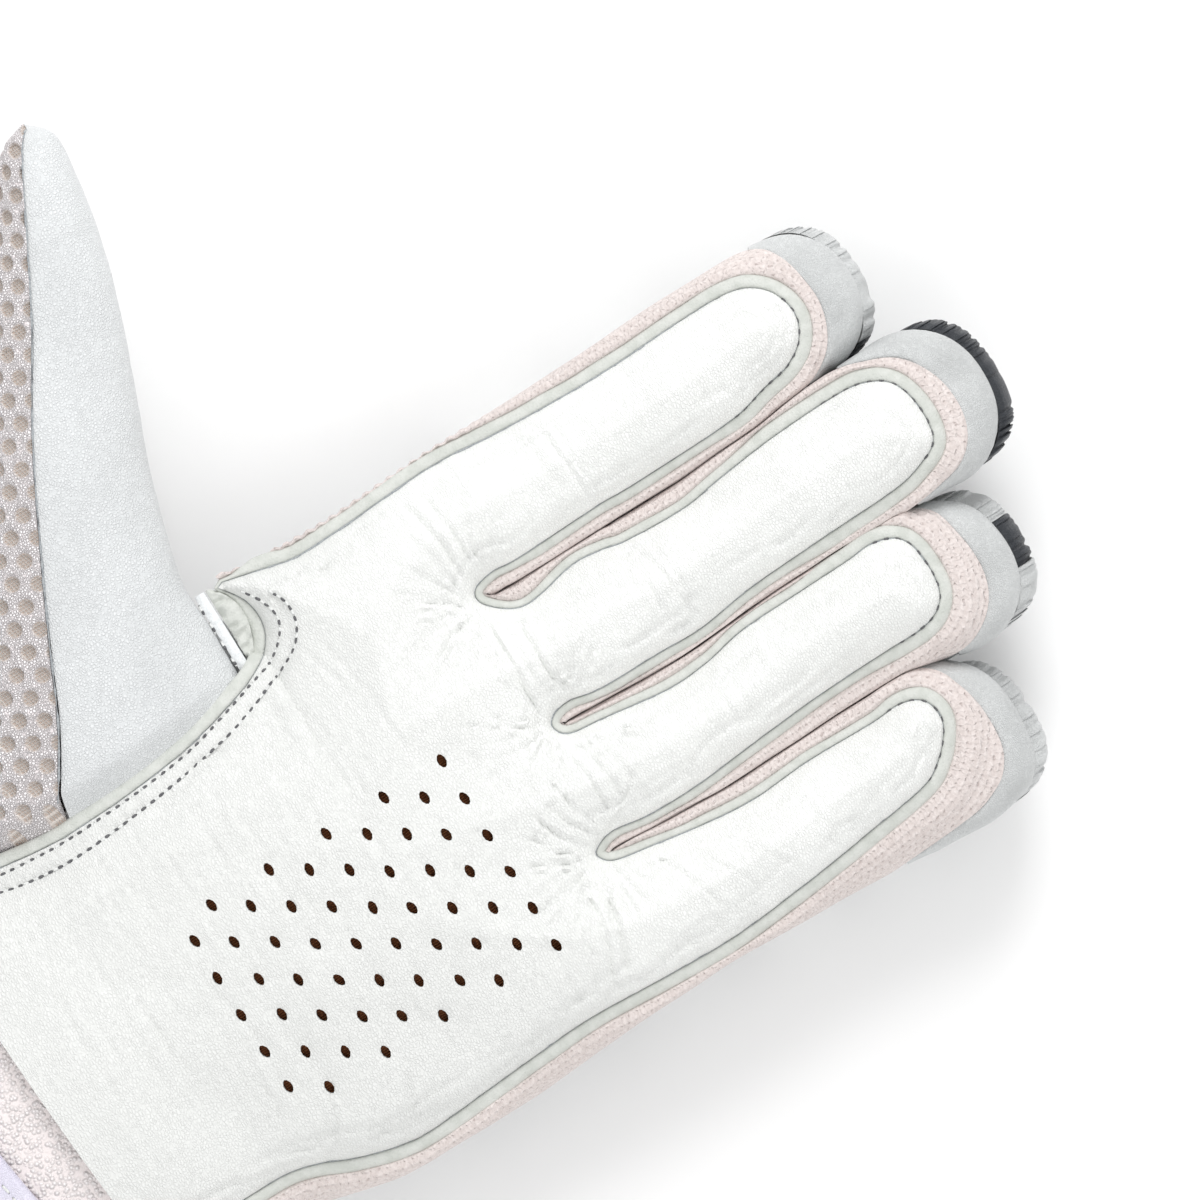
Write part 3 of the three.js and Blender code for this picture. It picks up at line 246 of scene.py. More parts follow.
# The net's pits stand in staggered rows: pitch along the thumb and round it
MESH_ALONG = 4.85
MESH_AROUND = 8.4

# Stitch rows: from one stitch to the next, and the length of the thread and of the painted shadow in each needle
# hole
PALM_PITCH = 2.1
PALM_THREAD = 1.2
PALM_HOLE_SHADE = 1.05

# Where each fingertip's row of painted stitch shadows starts and stops on the stitch line
TIP_ROWS = [(-46, 76.2, -32, 56), (-24.5, 72, -5.5, 82), (2.5, 66, 20.5, 60), (30.2, 52, 45, 51)]

# Gathered bands: finger, kind, where it starts and stops round the tip, and its slot
GATHERED_BANDS = [
    ("index", "gathered", 0.0, 0.84, "coated_white"), ("index", "dark", 0.84, 1.0, "coated_dark"),
    ("middle", "gathered", 0.0, 1.0, "coated_dark"), ("ring", "gathered", 0.0, 0.42, "coated_white"),
    ("ring", "dark", 0.42, 0.605, "coated_dark"), ("ring", "outer", 0.605, 1.0, "coated_white"),
    ("little", "gathered", 0.0, 1.0, "coated_white"),
]


# Numbers and noise
def smooth(value):
    """Rises from 0 to 1 as value does, level at both ends."""
    t = np.clip(value, 0, 1)
    return t * t * (3 - 2 * t)


def mix(a, b, share):
    """a turns into b as share goes from 0 to 1."""
    return a + (b - a) * share


def noise(x, y, seed):
    """Smooth value noise from -1 to 1: random values at whole numbers, blended by smooth()."""
    table = np.random.default_rng(seed).uniform(-1, 1, (128, 128))
    x, y = np.broadcast_arrays(np.asarray(x, float), np.asarray(y, float))
    fx, fy = np.floor(x), np.floor(y)
    ix, iy = fx.astype(int), fy.astype(int)
    sx, sy = smooth(x - fx), smooth(y - fy)
    near = mix(table[ix % 128, iy % 128], table[(ix + 1) % 128, iy % 128], sx)
    far = mix(table[ix % 128, (iy + 1) % 128], table[(ix + 1) % 128, (iy + 1) % 128], sx)
    return mix(near, far, sy)


def spline(rows, place):
    """Catmull-Rom curve through the rows, at places counted in rows from 0."""
    rows = np.asarray(rows, float)
    last = len(rows) - 1
    place = np.clip(np.asarray(place, float), 0, last)
    first = np.minimum(place.astype(int), last - 1)
    t = (place - first)[..., None]
    before, a = rows[np.maximum(first - 1, 0)], rows[first]
    b, after = rows[first + 1], rows[np.minimum(first + 2, last)]
    return 0.5 * (
        2 * a + (b - before) * t + (2 * before - 5 * a + 4 * b - after) * t ** 2
        + (3 * a - before - 3 * b + after) * t ** 3
    )


def even_path(points, spacing):
    """A smooth curve through the points, cut into even steps of about the spacing."""
    points = np.asarray(points, float)
    fine = spline(points, np.linspace(0, len(points) - 1, len(points) * 24))
    length = np.concatenate([[0], np.cumsum(np.linalg.norm(np.diff(fine, axis=0), axis=1))])
    steps = np.linspace(0, length[-1], max(2, int(length[-1] / spacing)) + 1)
    return np.stack([np.interp(steps, length, column) for column in fine.T], axis=1)


def left_normals(path):
    """Unit normals to the left of an open path in the plane."""
    along = np.gradient(path[:, :2], axis=0)
    along /= np.linalg.norm(along, axis=1, keepdims=True)
    return np.stack([-along[:, 1], along[:, 0]], axis=1)


def evened(values, window):
    """Running mean of the values over the window, with the ends held."""
    padded = np.concatenate([np.full(window, values[0]), values, np.full(window, values[-1])])
    kernel = np.ones(2 * window + 1) / (2 * window + 1)
    return np.convolve(padded, kernel, "valid")


def nearest_on_path(x, y, path):
    """Distance from every point to an open path, and the length along it to the nearest place."""
    start, step = path[:-1], np.diff(path, axis=0)
    size = (step ** 2).sum(axis=1)
    run = np.concatenate([[0], np.cumsum(np.sqrt(size))])[:-1]
    distance, along = np.empty(len(x)), np.empty(len(x))
    for low in range(0, len(x), 3000):
        px = x[low:low + 3000, None] - start[:, 0]
        py = y[low:low + 3000, None] - start[:, 1]
        share = np.clip((px * step[:, 0] + py * step[:, 1]) / size, 0, 1)
        away = np.hypot(px - share * step[:, 0], py - share * step[:, 1])
        best = away.argmin(axis=1)
        rows = np.arange(len(best))
        distance[low:low + 3000] = away[rows, best]
        along[low:low + 3000] = run[best] + share[rows, best] * np.sqrt(size[best])
    return distance, along


def inside(x, y, polygon):
    """Whether every point is inside the polygon, by counting crossings to its right."""
    a, b = polygon, np.roll(polygon, -1, axis=0)
    rise = np.where(b[:, 1] == a[:, 1], 1e-9, b[:, 1] - a[:, 1])
    result = np.empty(len(x), bool)
    for low in range(0, len(x), 3000):
        px, py = x[low:low + 3000, None], y[low:low + 3000, None]
        spans = (a[:, 1] > py) != (b[:, 1] > py)
        cross = a[:, 0] + (py - a[:, 1]) / rise * (b[:, 0] - a[:, 0])
        result[low:low + 3000] = (spans & (px < cross)).sum(axis=1) % 2 == 1
    return result


# Heights
def curl(y):
    """The fingers rise with the square of the distance past the palm."""
    return CURL_RISE * (np.maximum(0, y - CURL_START) / CURL_RUN) ** 2


def back_bottom(y):
    """Underside of the back panel: level, curled at the fingers and lower at the wrist."""
    return BACK_BOTTOM + curl(y) - 6.5 * smooth((-98 - y) / 14)


def thumb_lift(x, y):
    """The palm's edge arches over the thumb's root and settles towards the hand's middle."""
    share = np.clip((THUMB_TOP - y) / (THUMB_TOP - THUMB_BOTTOM), 0, 1)
    return 9 * np.sqrt(np.maximum(0, 1 - (2 * share - 1) ** 2)) * smooth((12.6 - x) / 45)


def seam_height(x, y):
    """Height of the stitch line: level with the hand, then an oval arch over the wrist."""
    share = np.minimum(0.93, np.abs(x - WRIST_X) / (WRIST_HALF_WIDTH + PALM_CLEAR))
    arch = WRIST_Z + (WRIST_HALF_HEIGHT + PALM_CLEAR) * np.sqrt(1 - share ** 2)
    return mix(SEAM_HEIGHT + curl(y) + thumb_lift(x, y), arch, smooth((-88 - y) / 20))


def crease_rows():
    """The table's creases, then fans below the finger roots and beside the thumb's stitches, then fine ones."""
    draw = np.random.default_rng(31)
    rows = [[*row[:5], row[5] * CREASE_NARROW, row[6] * CREASE_DEEPEN] for row in CREASES]
    for cx, cy, first, last, count in CREASE_FANS:
        for place in range(count):
            turn = math.radians(mix(first, last, (place + 0.5) / count) + draw.normal(0, 4))
            start, run = draw.uniform(0.6, 1.8), draw.uniform(7, 18)
            c, s = math.cos(turn), math.sin(turn)
            rows.append([cx + c * start, cy + s * start, cx + c * (start + run), cy + s * (start + run),
                         draw.uniform(-0.8, 0.8), draw.uniform(0.36, 0.5), draw.uniform(0.25, 0.5)])
    inner = even_path(THUMB_ROW_INNER, 1.5)
    for (x, y), (nx, ny) in zip(inner, -left_normals(inner)):
        start, run, tilt = draw.uniform(0.6, 3), draw.uniform(6, 20), draw.normal(-0.25, 0.12)
        rows.append([x + nx * start, y + ny * start, x + nx * run, y + (ny + tilt) * run,
                     draw.uniform(-0.6, 0.6), draw.uniform(0.32, 0.5), draw.uniform(0.06, 0.24)])
    for _ in range(FINE_CREASES):
        cx, cy = draw.uniform(-30, 46), draw.uniform(-112, -8)
        run, tilt = draw.uniform(5, 17), draw.normal(0, 0.12) + 0.05
        rows.append([cx - run, cy - run * tilt, cx + run, cy + run * tilt, draw.uniform(-1, 1),
                     draw.uniform(0.4, 0.7), draw.uniform(0.1, 0.26)])
    for low, high in FINGER_CREASES.values():
        for _ in range(FINGER_FINE_CREASES):
            cx, cy = draw.uniform(low[0] + 2, high[0] - 2), draw.uniform(low[1], high[1])
            run, tilt = draw.uniform(2.5, 7.5), draw.normal(0, 0.15)
            rows.append([cx - run, cy - run * tilt, cx + run, cy + run * tilt, draw.uniform(-0.8, 0.8),
                         draw.uniform(0.35, 0.6), draw.uniform(0.06, 0.2)])
    return rows


def crease_depth(x, y):
    """Sum of soft grooves, each a bell across a slightly bent line that fades at both ends."""
    depth = np.zeros_like(x)
    wander = noise(x / 3.1, y / 3.1, 5) * 0.35
    for x0, y0, x1, y1, bend, width, deep in crease_rows():
        ux, uy = x1 - x0, y1 - y0
        size = math.hypot(ux, uy)
        ux, uy = ux / size, uy / size
        along = ((x - x0) * ux + (y - y0) * uy) / size
        away = -(x - x0) * uy + (y - y0) * ux + wander - bend * 4 * along * (1 - along)
        fade = smooth(along / 0.18) * smooth((1 - along) / 0.25)
        depth += deep * np.exp(-(away / width) ** 2) * fade
        depth -= 0.35 * deep * np.exp(-((np.abs(away) - 1.6 * width) / width) ** 2) * fade
    return depth


# Meshes
def grid_faces(rows, columns, wrap_rows=False, wrap_columns=False):
    """Quads between neighbouring places of a grid of rows times columns."""
    last_row, last_column = rows - (not wrap_rows), columns - (not wrap_columns)
    i, j = np.meshgrid(np.arange(last_row), np.arange(last_column), indexing="ij")
    k, m = (i + 1) % rows, (j + 1) % columns
    return np.stack([i * columns + j, k * columns + j, k * columns + m, i * columns + m], axis=-1).reshape(-1, 4)


def volume(points, faces):
    """Signed volume of a closed mesh, from the cones between its faces and the origin."""
    total = 0.0
    for k in range(1, faces.shape[1] - 1):
        a, b, c = points[faces[:, 0]], points[faces[:, k]], points[faces[:, k + 1]]
        total += np.einsum("ij,ij->i", a, np.cross(b, c)).sum()
    return total


def shell(outer, inner, wrap=False):
    """A closed wall between an outer and an inner grid of points, joined along their free edges."""
    rows, columns = outer.shape[:2]
    size = rows * columns
    first = grid_faces(rows, columns, wrap_rows=wrap)
    faces = [first, first[:, ::-1] + size]
    index = np.arange(size).reshape(rows, columns)
    rims = [(index[:, 0], False), (index[:, -1], True)]
    if not wrap:
        rims += [(index[0], True), (index[-1], False)]
    for rim, flipped in rims:
        a, b = rim, np.roll(rim, -1)
        if not wrap or len(rim) != rows:
            a, b = rim[:-1], rim[1:]
        quad = np.stack([a, a + size, b + size, b], axis=1)
        faces.append(quad[:, ::-1] if flipped else quad)
    return np.concatenate([outer.reshape(-1, 3), inner.reshape(-1, 3)]), np.concatenate(faces)


def end_fans(rows, sides):
    """Triangles from the first and last of rows of rings to two points after them, with one corner doubled."""
    j = np.arange(sides)
    k = (j + 1) % sides
    count, last = rows * sides, (rows - 1) * sides
    low = np.stack([np.full(sides, count), k, j, j], axis=1)
    high = np.stack([np.full(sides, count + 1), last + j, last + k, last + k], axis=1)
    return low, high


def tube(path, radius, sides=8):
    """A round cord: circles of the radius across the path, closed at both ends by shrinking to a point."""
    path = np.asarray(path, float)
    along = np.gradient(path, axis=0)
    along /= np.linalg.norm(along, axis=1, keepdims=True)
    side = np.cross(along, [0, 0, 1.0])
    side /= np.linalg.norm(side, axis=1, keepdims=True)
    up = np.cross(side, along)
    radius = np.broadcast_to(radius, len(path)).copy()
    radius[[0, -1]] = 0.001
    turn = np.arange(sides) / sides * 2 * math.pi
    ring = side[:, None] * np.cos(turn)[None, :, None] + up[:, None] * np.sin(turn)[None, :, None]
    points = (path[:, None] + ring * radius[:, None, None]).reshape(-1, 3)
    faces = grid_faces(len(path), sides, wrap_columns=True)
    ends = np.stack([path[0], path[-1]])
    return np.concatenate([points, ends]), np.concatenate([faces, *end_fans(len(path), sides)])


def stitches(path, pitch, length, radius, seed):
    """A row of short capsules along a path: each is a stretched sphere, slightly turned and shifted at random."""
    path = np.asarray(path, float)
    run = np.concatenate([[0], np.cumsum(np.linalg.norm(np.diff(path, axis=0), axis=1))])
    count = max(1, int(run[-1] / pitch))
    draw = np.random.default_rng(seed)
    place = (np.arange(count) + 0.5 + draw.uniform(-0.06, 0.06, count)) * run[-1] / count
    at = np.stack([np.interp(place, run, column) for column in path.T], axis=1)
    ahead = np.stack([np.interp(place + 0.4, run, column) for column in path.T], axis=1)
    behind = np.stack([np.interp(place - 0.4, run, column) for column in path.T], axis=1)
    along = ahead - behind
    along /= np.linalg.norm(along, axis=1, keepdims=True)
    side = np.cross(along, [0, 0, 1.0])
    side /= np.linalg.norm(side, axis=1, keepdims=True)
    up = np.cross(side, along)
    turn = draw.normal(0, 0.07, count)[:, None]
    along, side = along + side * turn, side - along * turn
    across, around = 5, 6
    lengths = np.cos(np.linspace(0, math.pi, across + 2)[1:-1])
    widths = np.sin(np.linspace(0, math.pi, across + 2)[1:-1]) ** 0.6
    angles = np.arange(around) / around * 2 * math.pi
    local = np.stack([
        np.repeat(lengths, around) * length / 2, (widths[:, None] * np.cos(angles)).ravel() * radius,
        (widths[:, None] * np.sin(angles)).ravel() * radius * 0.55,
    ], axis=1)
    local = np.concatenate([local, [[length / 2 + radius * 0.2, 0, 0], [-length / 2 - radius * 0.2, 0, 0]]])
    points = at[:, None] + local[None, :, :1] * along[:, None]
    points = points + (local[None, :, 1:2] * side[:, None] + local[None, :, 2:] * up[:, None])
    body = grid_faces(across, around, wrap_columns=True)
    one = np.concatenate([body, *end_fans(across, around)])
    faces = (one[None] + (np.arange(count) * len(local))[:, None, None]).reshape(-1, 4)
    return points.reshape(-1, 3), faces


def joined(parts):
    """Several meshes of points and four-cornered faces as one."""
    points, faces, base = [], [], 0
    for some_points, some_faces in parts:
        points.append(some_points)
        faces.append(some_faces + base)
        base += len(some_points)
    return np.concatenate(points), np.concatenate(faces)


def piece(name, shape, finish, replaces=(), uv=None, sharp=None):
    """Puts points and faces, in millimetres on the hand, into a mesh object in metres in the part's frame."""
    points, faces = shape
    if volume(points, faces) < 0:
        faces = faces[:, ::-1]
    placed = ((points + SHIFT) * MM).astype(np.float32)
    corners = faces.shape[1]
    mesh = bpy.data.meshes.new(name)
    if corners == 4 and ((faces[:, 2] == faces[:, 3]) | (faces[:, 0] == faces[:, 1])).any():
        rows = [tuple(dict.fromkeys(row)) for row in faces.tolist()]
        mesh.from_pydata(placed.tolist(), [], rows)
    else:
        mesh.vertices.add(len(placed))
        mesh.vertices.foreach_set("co", placed.ravel())
        mesh.loops.add(faces.size)
        mesh.loops.foreach_set("vertex_index", faces.ravel().astype(np.int32))
        mesh.polygons.add(len(faces))
        mesh.polygons.foreach_set("loop_start", np.arange(0, faces.size, corners, dtype=np.int32))
        mesh.update(calc_edges=True)
    mesh.polygons.foreach_set("use_smooth", np.ones(len(mesh.polygons), bool))
    if sharp:
        mesh.set_sharp_from_angle(angle=math.radians(sharp))
    if uv is not None:
        layer = mesh.uv_layers.new(name="flow")
        vertex = np.empty(len(mesh.loops), np.int32)
        mesh.loops.foreach_get("vertex_index", vertex)
        layer.data.foreach_set("uv", uv[vertex].astype(np.float32).ravel())
    mesh.materials.append(finish)
    made = bpy.data.objects.new(name, mesh)
    bpy.context.scene.collection.objects.link(made)
    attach(made, "root")
    if replaces:
        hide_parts(*replaces)
    return made


# Finishes
class Field:
    """A shader socket with Python's operators: each adds a Math node."""

    def __init__(self, finish, socket):
        self.finish = finish
        self.socket = socket

    def maths(self, operation, *values):
        inputs = dict(enumerate(values))
        return self.finish.node("ShaderNodeMath", {"operation": operation}, inputs)

    def __add__(self, other):
        return self.maths("ADD", self, other)

    def __sub__(self, other):
        return self.maths("SUBTRACT", self, other)

    def __rsub__(self, other):
        return self.maths("SUBTRACT", other, self)

    def __mul__(self, other):
        return self.maths("MULTIPLY", self, other)

    def __truediv__(self, other):
        return self.maths("DIVIDE", self, other)

    def __pow__(self, other):
        return self.maths("POWER", self, other)

    def least(self, other):
        return self.maths("MINIMUM", self, other)

    def repeat(self):
        return self.maths("FRACT", self)

    def sine(self):
        return self.maths("SINE", self)

    def size(self):
        return self.maths("ABSOLUTE", self)

    def root(self):
        return self.maths("SQRT", self)

    def ramp(self, low, high):
        """Rises smoothly from 0 at low to 1 at high."""
        settings = {"interpolation_type": "SMOOTHSTEP", "clamp": True}
        return self.finish.node("ShaderNodeMapRange", settings, {"Value": self, "From Min": low, "From Max": high})


class Finish:
    """One procedural material on a Principled shader."""

    def __init__(self, name, roughness, sheen=0.0):
        self.material = bpy.data.materials.new(name)
        self.material.use_nodes = True
        self.tree = self.material.node_tree
        self.shader = self.tree.nodes["Principled BSDF"]
        self.shader.inputs["Roughness"].default_value = roughness
        self.shader.inputs["Sheen Weight"].default_value = sheen
        self.shader.inputs["Specular IOR Level"].default_value = 0.35

    def node(self, kind, settings, inputs, output=0):
        made = self.tree.nodes.new(kind)
        for key, value in settings.items():
            setattr(made, key, value)
        for key, value in inputs.items():
            if isinstance(value, Field):
                self.tree.links.new(value.socket, made.inputs[key])
            else:
                made.inputs[key].default_value = value
        return Field(self, made.outputs[output])

    def place(self, stretch=(1, 1, 1), turn=0.0):
        """Object coordinates in millimetres, stretched and turned about z."""
        at = self.node("ShaderNodeTexCoord", {}, {}, "Object")
        scale = [1000 * value for value in stretch]
        return self.node("ShaderNodeMapping", {}, {"Vector": at, "Scale": scale, "Rotation": (0, 0, turn)})

    def flow(self):
        """The piece's own map, in millimetres, as its two lengths."""
        at = self.node("ShaderNodeUVMap", {"uv_map": "flow"}, {})
        return self.parts(at)

    def parts(self, at):
        """The first two lengths of a place."""
        first = self.node("ShaderNodeSeparateXYZ", {}, {"Vector": at}, 0)
        return first, Field(self, first.socket.node.outputs[1])

    def noise(self, at, scale, detail=2.0, roughness=0.5):
        return self.node("ShaderNodeTexNoise", {}, {
            "Vector": at, "Scale": scale, "Detail": detail, "Roughness": roughness})

    def cells(self, at, scale, feature="F1", randomness=1.0):
        return self.node("ShaderNodeTexVoronoi", {"feature": feature}, {
            "Vector": at, "Scale": scale, "Randomness": randomness})

    def blend(self, a, b, share):
        """Colour a turning into colour b as share goes from 0 to 1."""
        values = {0: share, 6: self.colour(a), 7: self.colour(b)}
        return self.node("ShaderNodeMix", {"data_type": "RGBA"}, values, 2)

    def colour(self, value):
        return value if isinstance(value, Field) else linear(*value)

    def set(self, socket, value):
        if isinstance(value, Field):
            self.tree.links.new(value.socket, self.shader.inputs[socket])
        else:
            self.shader.inputs[socket].default_value = self.colour(value)

    def bump(self, height, depth):
        """Tilts the surface by a height from 0 to 1 times a depth in millimetres."""
        values = {"Height": height, "Strength": 1.0, "Distance": depth * MM}
        self.set("Normal", self.node("ShaderNodeBump", {}, values))


def linear(red, green, blue):
    """A colour in screen values from 0 to 255, as the shader's linear values."""
    parts = [value / 255 for value in (red, green, blue)]
    return [value / 12.92 if value <= 0.04045 else ((value + 0.055) / 1.055) ** 2.4 for value in parts] + [1.0]


def smooth_leather():
    made = Finish("smooth_palm_leather", 0.46)
    across = made.place((0.75, 1.35, 1))
    wide = made.place()
    grain = made.cells(across, 1.5, "DISTANCE_TO_EDGE").ramp(0.0, 0.22)
    folds = made.noise(made.place((0.16, 0.9, 0.3)), 0.8, 5.0, 0.62)
    tone = made.noise(wide, 0.06, 3.0)
    _, along = made.parts(wide)
    # Painted shade: the leather is greyer over the palm and whiter along the fingers
    pale = made.blend((234, 235, 233), (250, 251, 249), along.ramp(PALM_SHADE_START, PALM_SHADE_END))
    # Greyer in broad random blotches
    blotched = made.blend(pale, (236, 237, 235), tone.ramp(0.35, 0.75) * 0.6)
    made.set("Base Color", made.blend(blotched, (226, 227, 224), (1 - grain) * 0.35))
    made.bump(grain * 0.45 + folds * 0.55, 0.19)
    return made.material


def pebbled_leather():
    made = Finish("pebbled_thumb_leather", 0.5)
    at = made.place()
    pebbles = made.cells(at, 1.7, "DISTANCE_TO_EDGE").ramp(0.0, 0.3)
    fine = made.noise(at, 2.2, 3.0)
    tone = made.noise(at, 0.05, 3.0)
    pale = made.blend((233, 235, 236), (224, 226, 227), tone.ramp(0.35, 0.7))
    made.set("Base Color", made.blend(pale, (208, 211, 212), (1 - pebbles) * 0.5))
    made.bump(pebbles * 0.6 + fine * 0.4, 0.2)
    return made.material


def binding_tape():
    made = Finish("binding_tape_weave", 0.62)
    at = made.place()
    fine = made.noise(at, 2.6, 3.0)
    tone = made.noise(at, 0.4, 2.0)
    pale = made.blend((215, 217, 212), (203, 206, 200), tone.ramp(0.3, 0.7))
    made.set("Base Color", made.blend(pale, (190, 194, 187), fine.ramp(0.55, 0.8) * 0.5))
    made.bump(fine, 0.2)
    return made.material


def knit_cloth():
    made = Finish("ribbed_knit_cloth", 0.85, sheen=0.25)
    along, across = made.flow()
    drift = made.noise(made.place(), 0.9, 2.0) * 1.8
    along, across = along + drift, across + drift * 0.6
    row = across / 1.5
    column = along / 1.6 + ((row * 0.5).repeat() - 0.25).maths("SIGN", (row * 0.5).repeat() - 0.5) * 0.25
    away = (((column.repeat() - 0.5) * 1.6) ** 2 + ((row.repeat() - 0.5) * 1.5) ** 2).root()
    hole = 1 - away.ramp(0.05, 0.3)
    ribs = ((across * 4.19).sine() * 0.5 + 0.5) * 0.6 + ((along * 7.85).sine() * 0.5 + 0.5) * 0.4
    tone = made.noise(made.place(), 1.1, 5.0, 0.75)
    pale = made.blend((237, 228, 225), (218, 207, 203), tone.ramp(0.32, 0.68))
    shaded = made.blend(pale, (209, 197, 193), (1 - ribs) * 0.45)
    made.set("Base Color", made.blend(shaded, (186, 168, 163), hole * tone.ramp(0.4, 0.52) * 0.55))
    made.bump(ribs * 0.6 + (1 - hole) * 0.4, 0.45)
    return made.material


def coated(name, pale, deep, roughness):
    made = Finish(name, roughness)
    at = made.place()
    creases = made.noise(made.place((1, 0.5, 1)), 0.5, 5.0, 0.6)
    grain = made.cells(at, 2.4, "DISTANCE_TO_EDGE").ramp(0.0, 0.25)
    tone = made.noise(at, 0.07, 3.0)
    made.set("Base Color", made.blend(pale, deep, tone.ramp(0.3, 0.75)))
    made.bump(creases * 0.75 + grain * 0.25, 0.35)
    return made.material


def spacer_mesh():
    made = Finish("spacer_mesh_net", 0.85, sheen=0.2)
    along, around = made.flow()
    u, v = along / MESH_ALONG, around / MESH_AROUND

    def pit_distance(shift):
        across = ((u + shift).repeat() - 0.5) * MESH_ALONG
        upward = ((v + shift).repeat() - 0.5) * MESH_AROUND
        return (across ** 2 + upward ** 2).root()

    away = pit_distance(0.0).least(pit_distance(0.5))
    pit = 1 - away.ramp(1.25, 1.75)
    net = ((along * 5.2).sine().size()).least(((around + along * 0.3) * 5.2).sine().size())
    at = made.place()
    strands = made.cells(at, 2.0, "DISTANCE_TO_EDGE").ramp(0.0, 0.25)
    rim = made.blend((255, 251, 252), (240, 231, 232), (1 - strands) * 0.8)
    # The pits' colour is partly the backing's own beige and partly painted shade: darker than the rim, darkest
    # between the net's strands
    deep = made.blend((234, 225, 218), (196, 178, 166), net.ramp(0.3, 0.85))
    made.set("Base Color", made.blend(rim, deep, pit))
    made.bump(strands * (1 - pit) + (1 - net) * pit * 0.8, 0.45)
    return made.material


def terry_cloth():
    made = Finish("looped_terry_cloth", 0.92, sheen=0.3)
    at = made.place()
    loops = made.cells(at, 1.1).ramp(0.1, 0.75)
    fine = made.noise(at, 2.4, 3.0)
    pale = made.blend((255, 250, 250), (243, 234, 233), loops)
    made.set("Base Color", made.blend(pale, (248, 240, 239), fine.ramp(0.4, 0.8)))
    made.bump((1 - loops) * 0.8 + fine * 0.2, 0.6)
    return made.material


def plain_thread(name, pale, deep, roughness=0.7):
    made = Finish(name, roughness)
    twist = made.noise(made.place(), 3.0, 2.0)
    made.set("Base Color", made.blend(pale, deep, twist.ramp(0.35, 0.7)))
    made.bump(twist, 0.1)
    return made.material


def ribbed_lining():
    made = Finish("ribbed_brown_lining", 0.85)
    at = made.place()
    across, _ = made.parts(at)
    ribs = (across * 7.0).sine().size()
    fine = made.noise(at, 1.4, 3.0)
    tone = made.blend((186, 122, 74), (120, 66, 38), ribs.ramp(0.3, 0.8))
    made.set("Base Color", made.blend(tone, (96, 52, 32), fine.ramp(0.5, 0.8)))
    made.bump(ribs, 0.4)
    return made.material


LEATHER_FINISH = smooth_leather()
PEBBLED_FINISH = pebbled_leather()
BINDING_FINISH = binding_tape()
KNIT_FINISH = knit_cloth()
WHITE_FINISH = coated("coated_white_skin", (213, 215, 215), (201, 203, 203), 0.36)
DARK_FINISH = coated("coated_charcoal_skin", (62, 65, 70), (48, 51, 56), 0.4)
STRAP_FINISH = coated("coated_lavender_strap", (240, 237, 250), (228, 224, 243), 0.38)
MESH_FINISH = spacer_mesh()
TERRY_FINISH = terry_cloth()
TAPE_FINISH = plain_thread("white_woven_tape", (240, 242, 243), (226, 229, 230))
WHITE_THREAD = plain_thread("white_sewing_thread", (238, 239, 238), (214, 216, 214))
# Dark grey capsules that stand for the shade in the needle holes where the thread sinks: painted shadow
STITCH_SHADE = plain_thread("sunk_stitch_shade", (112, 112, 114), (84, 84, 88))
SHADOW_THREAD = plain_thread("sunk_seam_shadow", (176, 180, 182), (146, 151, 156))
LINING_FINISH = ribbed_lining()

# Lines of the palm
seam = even_path(THUMB_BASE_LINE, SEAM_STEP)
index_start = len(seam)
seam = np.concatenate([seam, even_path(INDEX_LINE + MIDDLE_LINE + RING_LINE + LITTLE_LINE, SEAM_STEP)])
seam_out = left_normals(seam)
for axis in (0, 1):
    seam_out[:, axis] = evened(seam_out[:, axis], 1)
seam_out /= np.linalg.norm(seam_out, axis=1, keepdims=True)


def wrist_edge(first, last, count):
    """The palm's straight slanted edge at the wrist, without its two ends."""
    x = np.linspace(first[0], last[0], count + 2)[1:-1]
    return np.stack([x, WRIST_EDGE + WRIST_SLANT * (x - WRIST_X)], axis=1)


palm_outline = np.concatenate([seam, wrist_edge(seam[-1], seam[0], 108)])


def vent_leaves(grow, corners):
    """Loops of pointed leaves: cosine across, sine along to a power that sharpens the two ends."""
    loops = []
    turn = np.arange(corners) / corners * 2 * math.pi
    leaf = np.stack([
        np.cos(turn) * (VENT_HALF[0] + grow),
        np.sign(np.sin(turn)) * np.abs(np.sin(turn)) ** 1.25 * (VENT_HALF[1] + grow),
    ], axis=1)
    draw = np.random.default_rng(12)
    for row in range(VENT_ROWS):
        count = 5 + row % 2
        for place in range(count):
            x = VENT_CENTRE[0] + (place - (count - 1) / 2) * VENT_PITCH[0] + draw.uniform(-0.12, 0.12)
            y = VENT_CENTRE[1] + (row - (VENT_ROWS - 1) / 2) * VENT_PITCH[1] + draw.uniform(-0.12, 0.12)
            turned = draw.normal(0.08, 0.1)
            c, s = math.cos(turned), math.sin(turned)
            loops.append(leaf @ np.array([[c, s], [-s, c]]) + (x, y))
    return loops


def seam_wrinkles(distance, along):
    """Fine folds that run beside the stitches, wandering in and out and fading in places."""
    depth = 0
    for order, (away, width, deep) in enumerate(SEAM_WRINKLES):
        wander = 0.7 * noise(along / 6.5, 0, 730 + order) + 0.25 * noise(along / 1.9, 0, 740 + order)
        fade = smooth(noise(along / 8.5, 0, 750 + order) * 1.6 + 0.35)
        depth = depth + deep * fade * np.exp(-((distance - away - wander) / width) ** 2)
    return depth


def row_groove(x, y):
    """Shallow sunk lines under the two stitch rows at the thumb's base."""
    depth = 0
    for row in (THUMB_ROW_OUTER, THUMB_ROW_INNER):
        away, _ = nearest_on_path(x, y, even_path(row, 1.0))
        depth = depth + 0.26 * np.exp(-(away / 0.6) ** 2)
    return depth


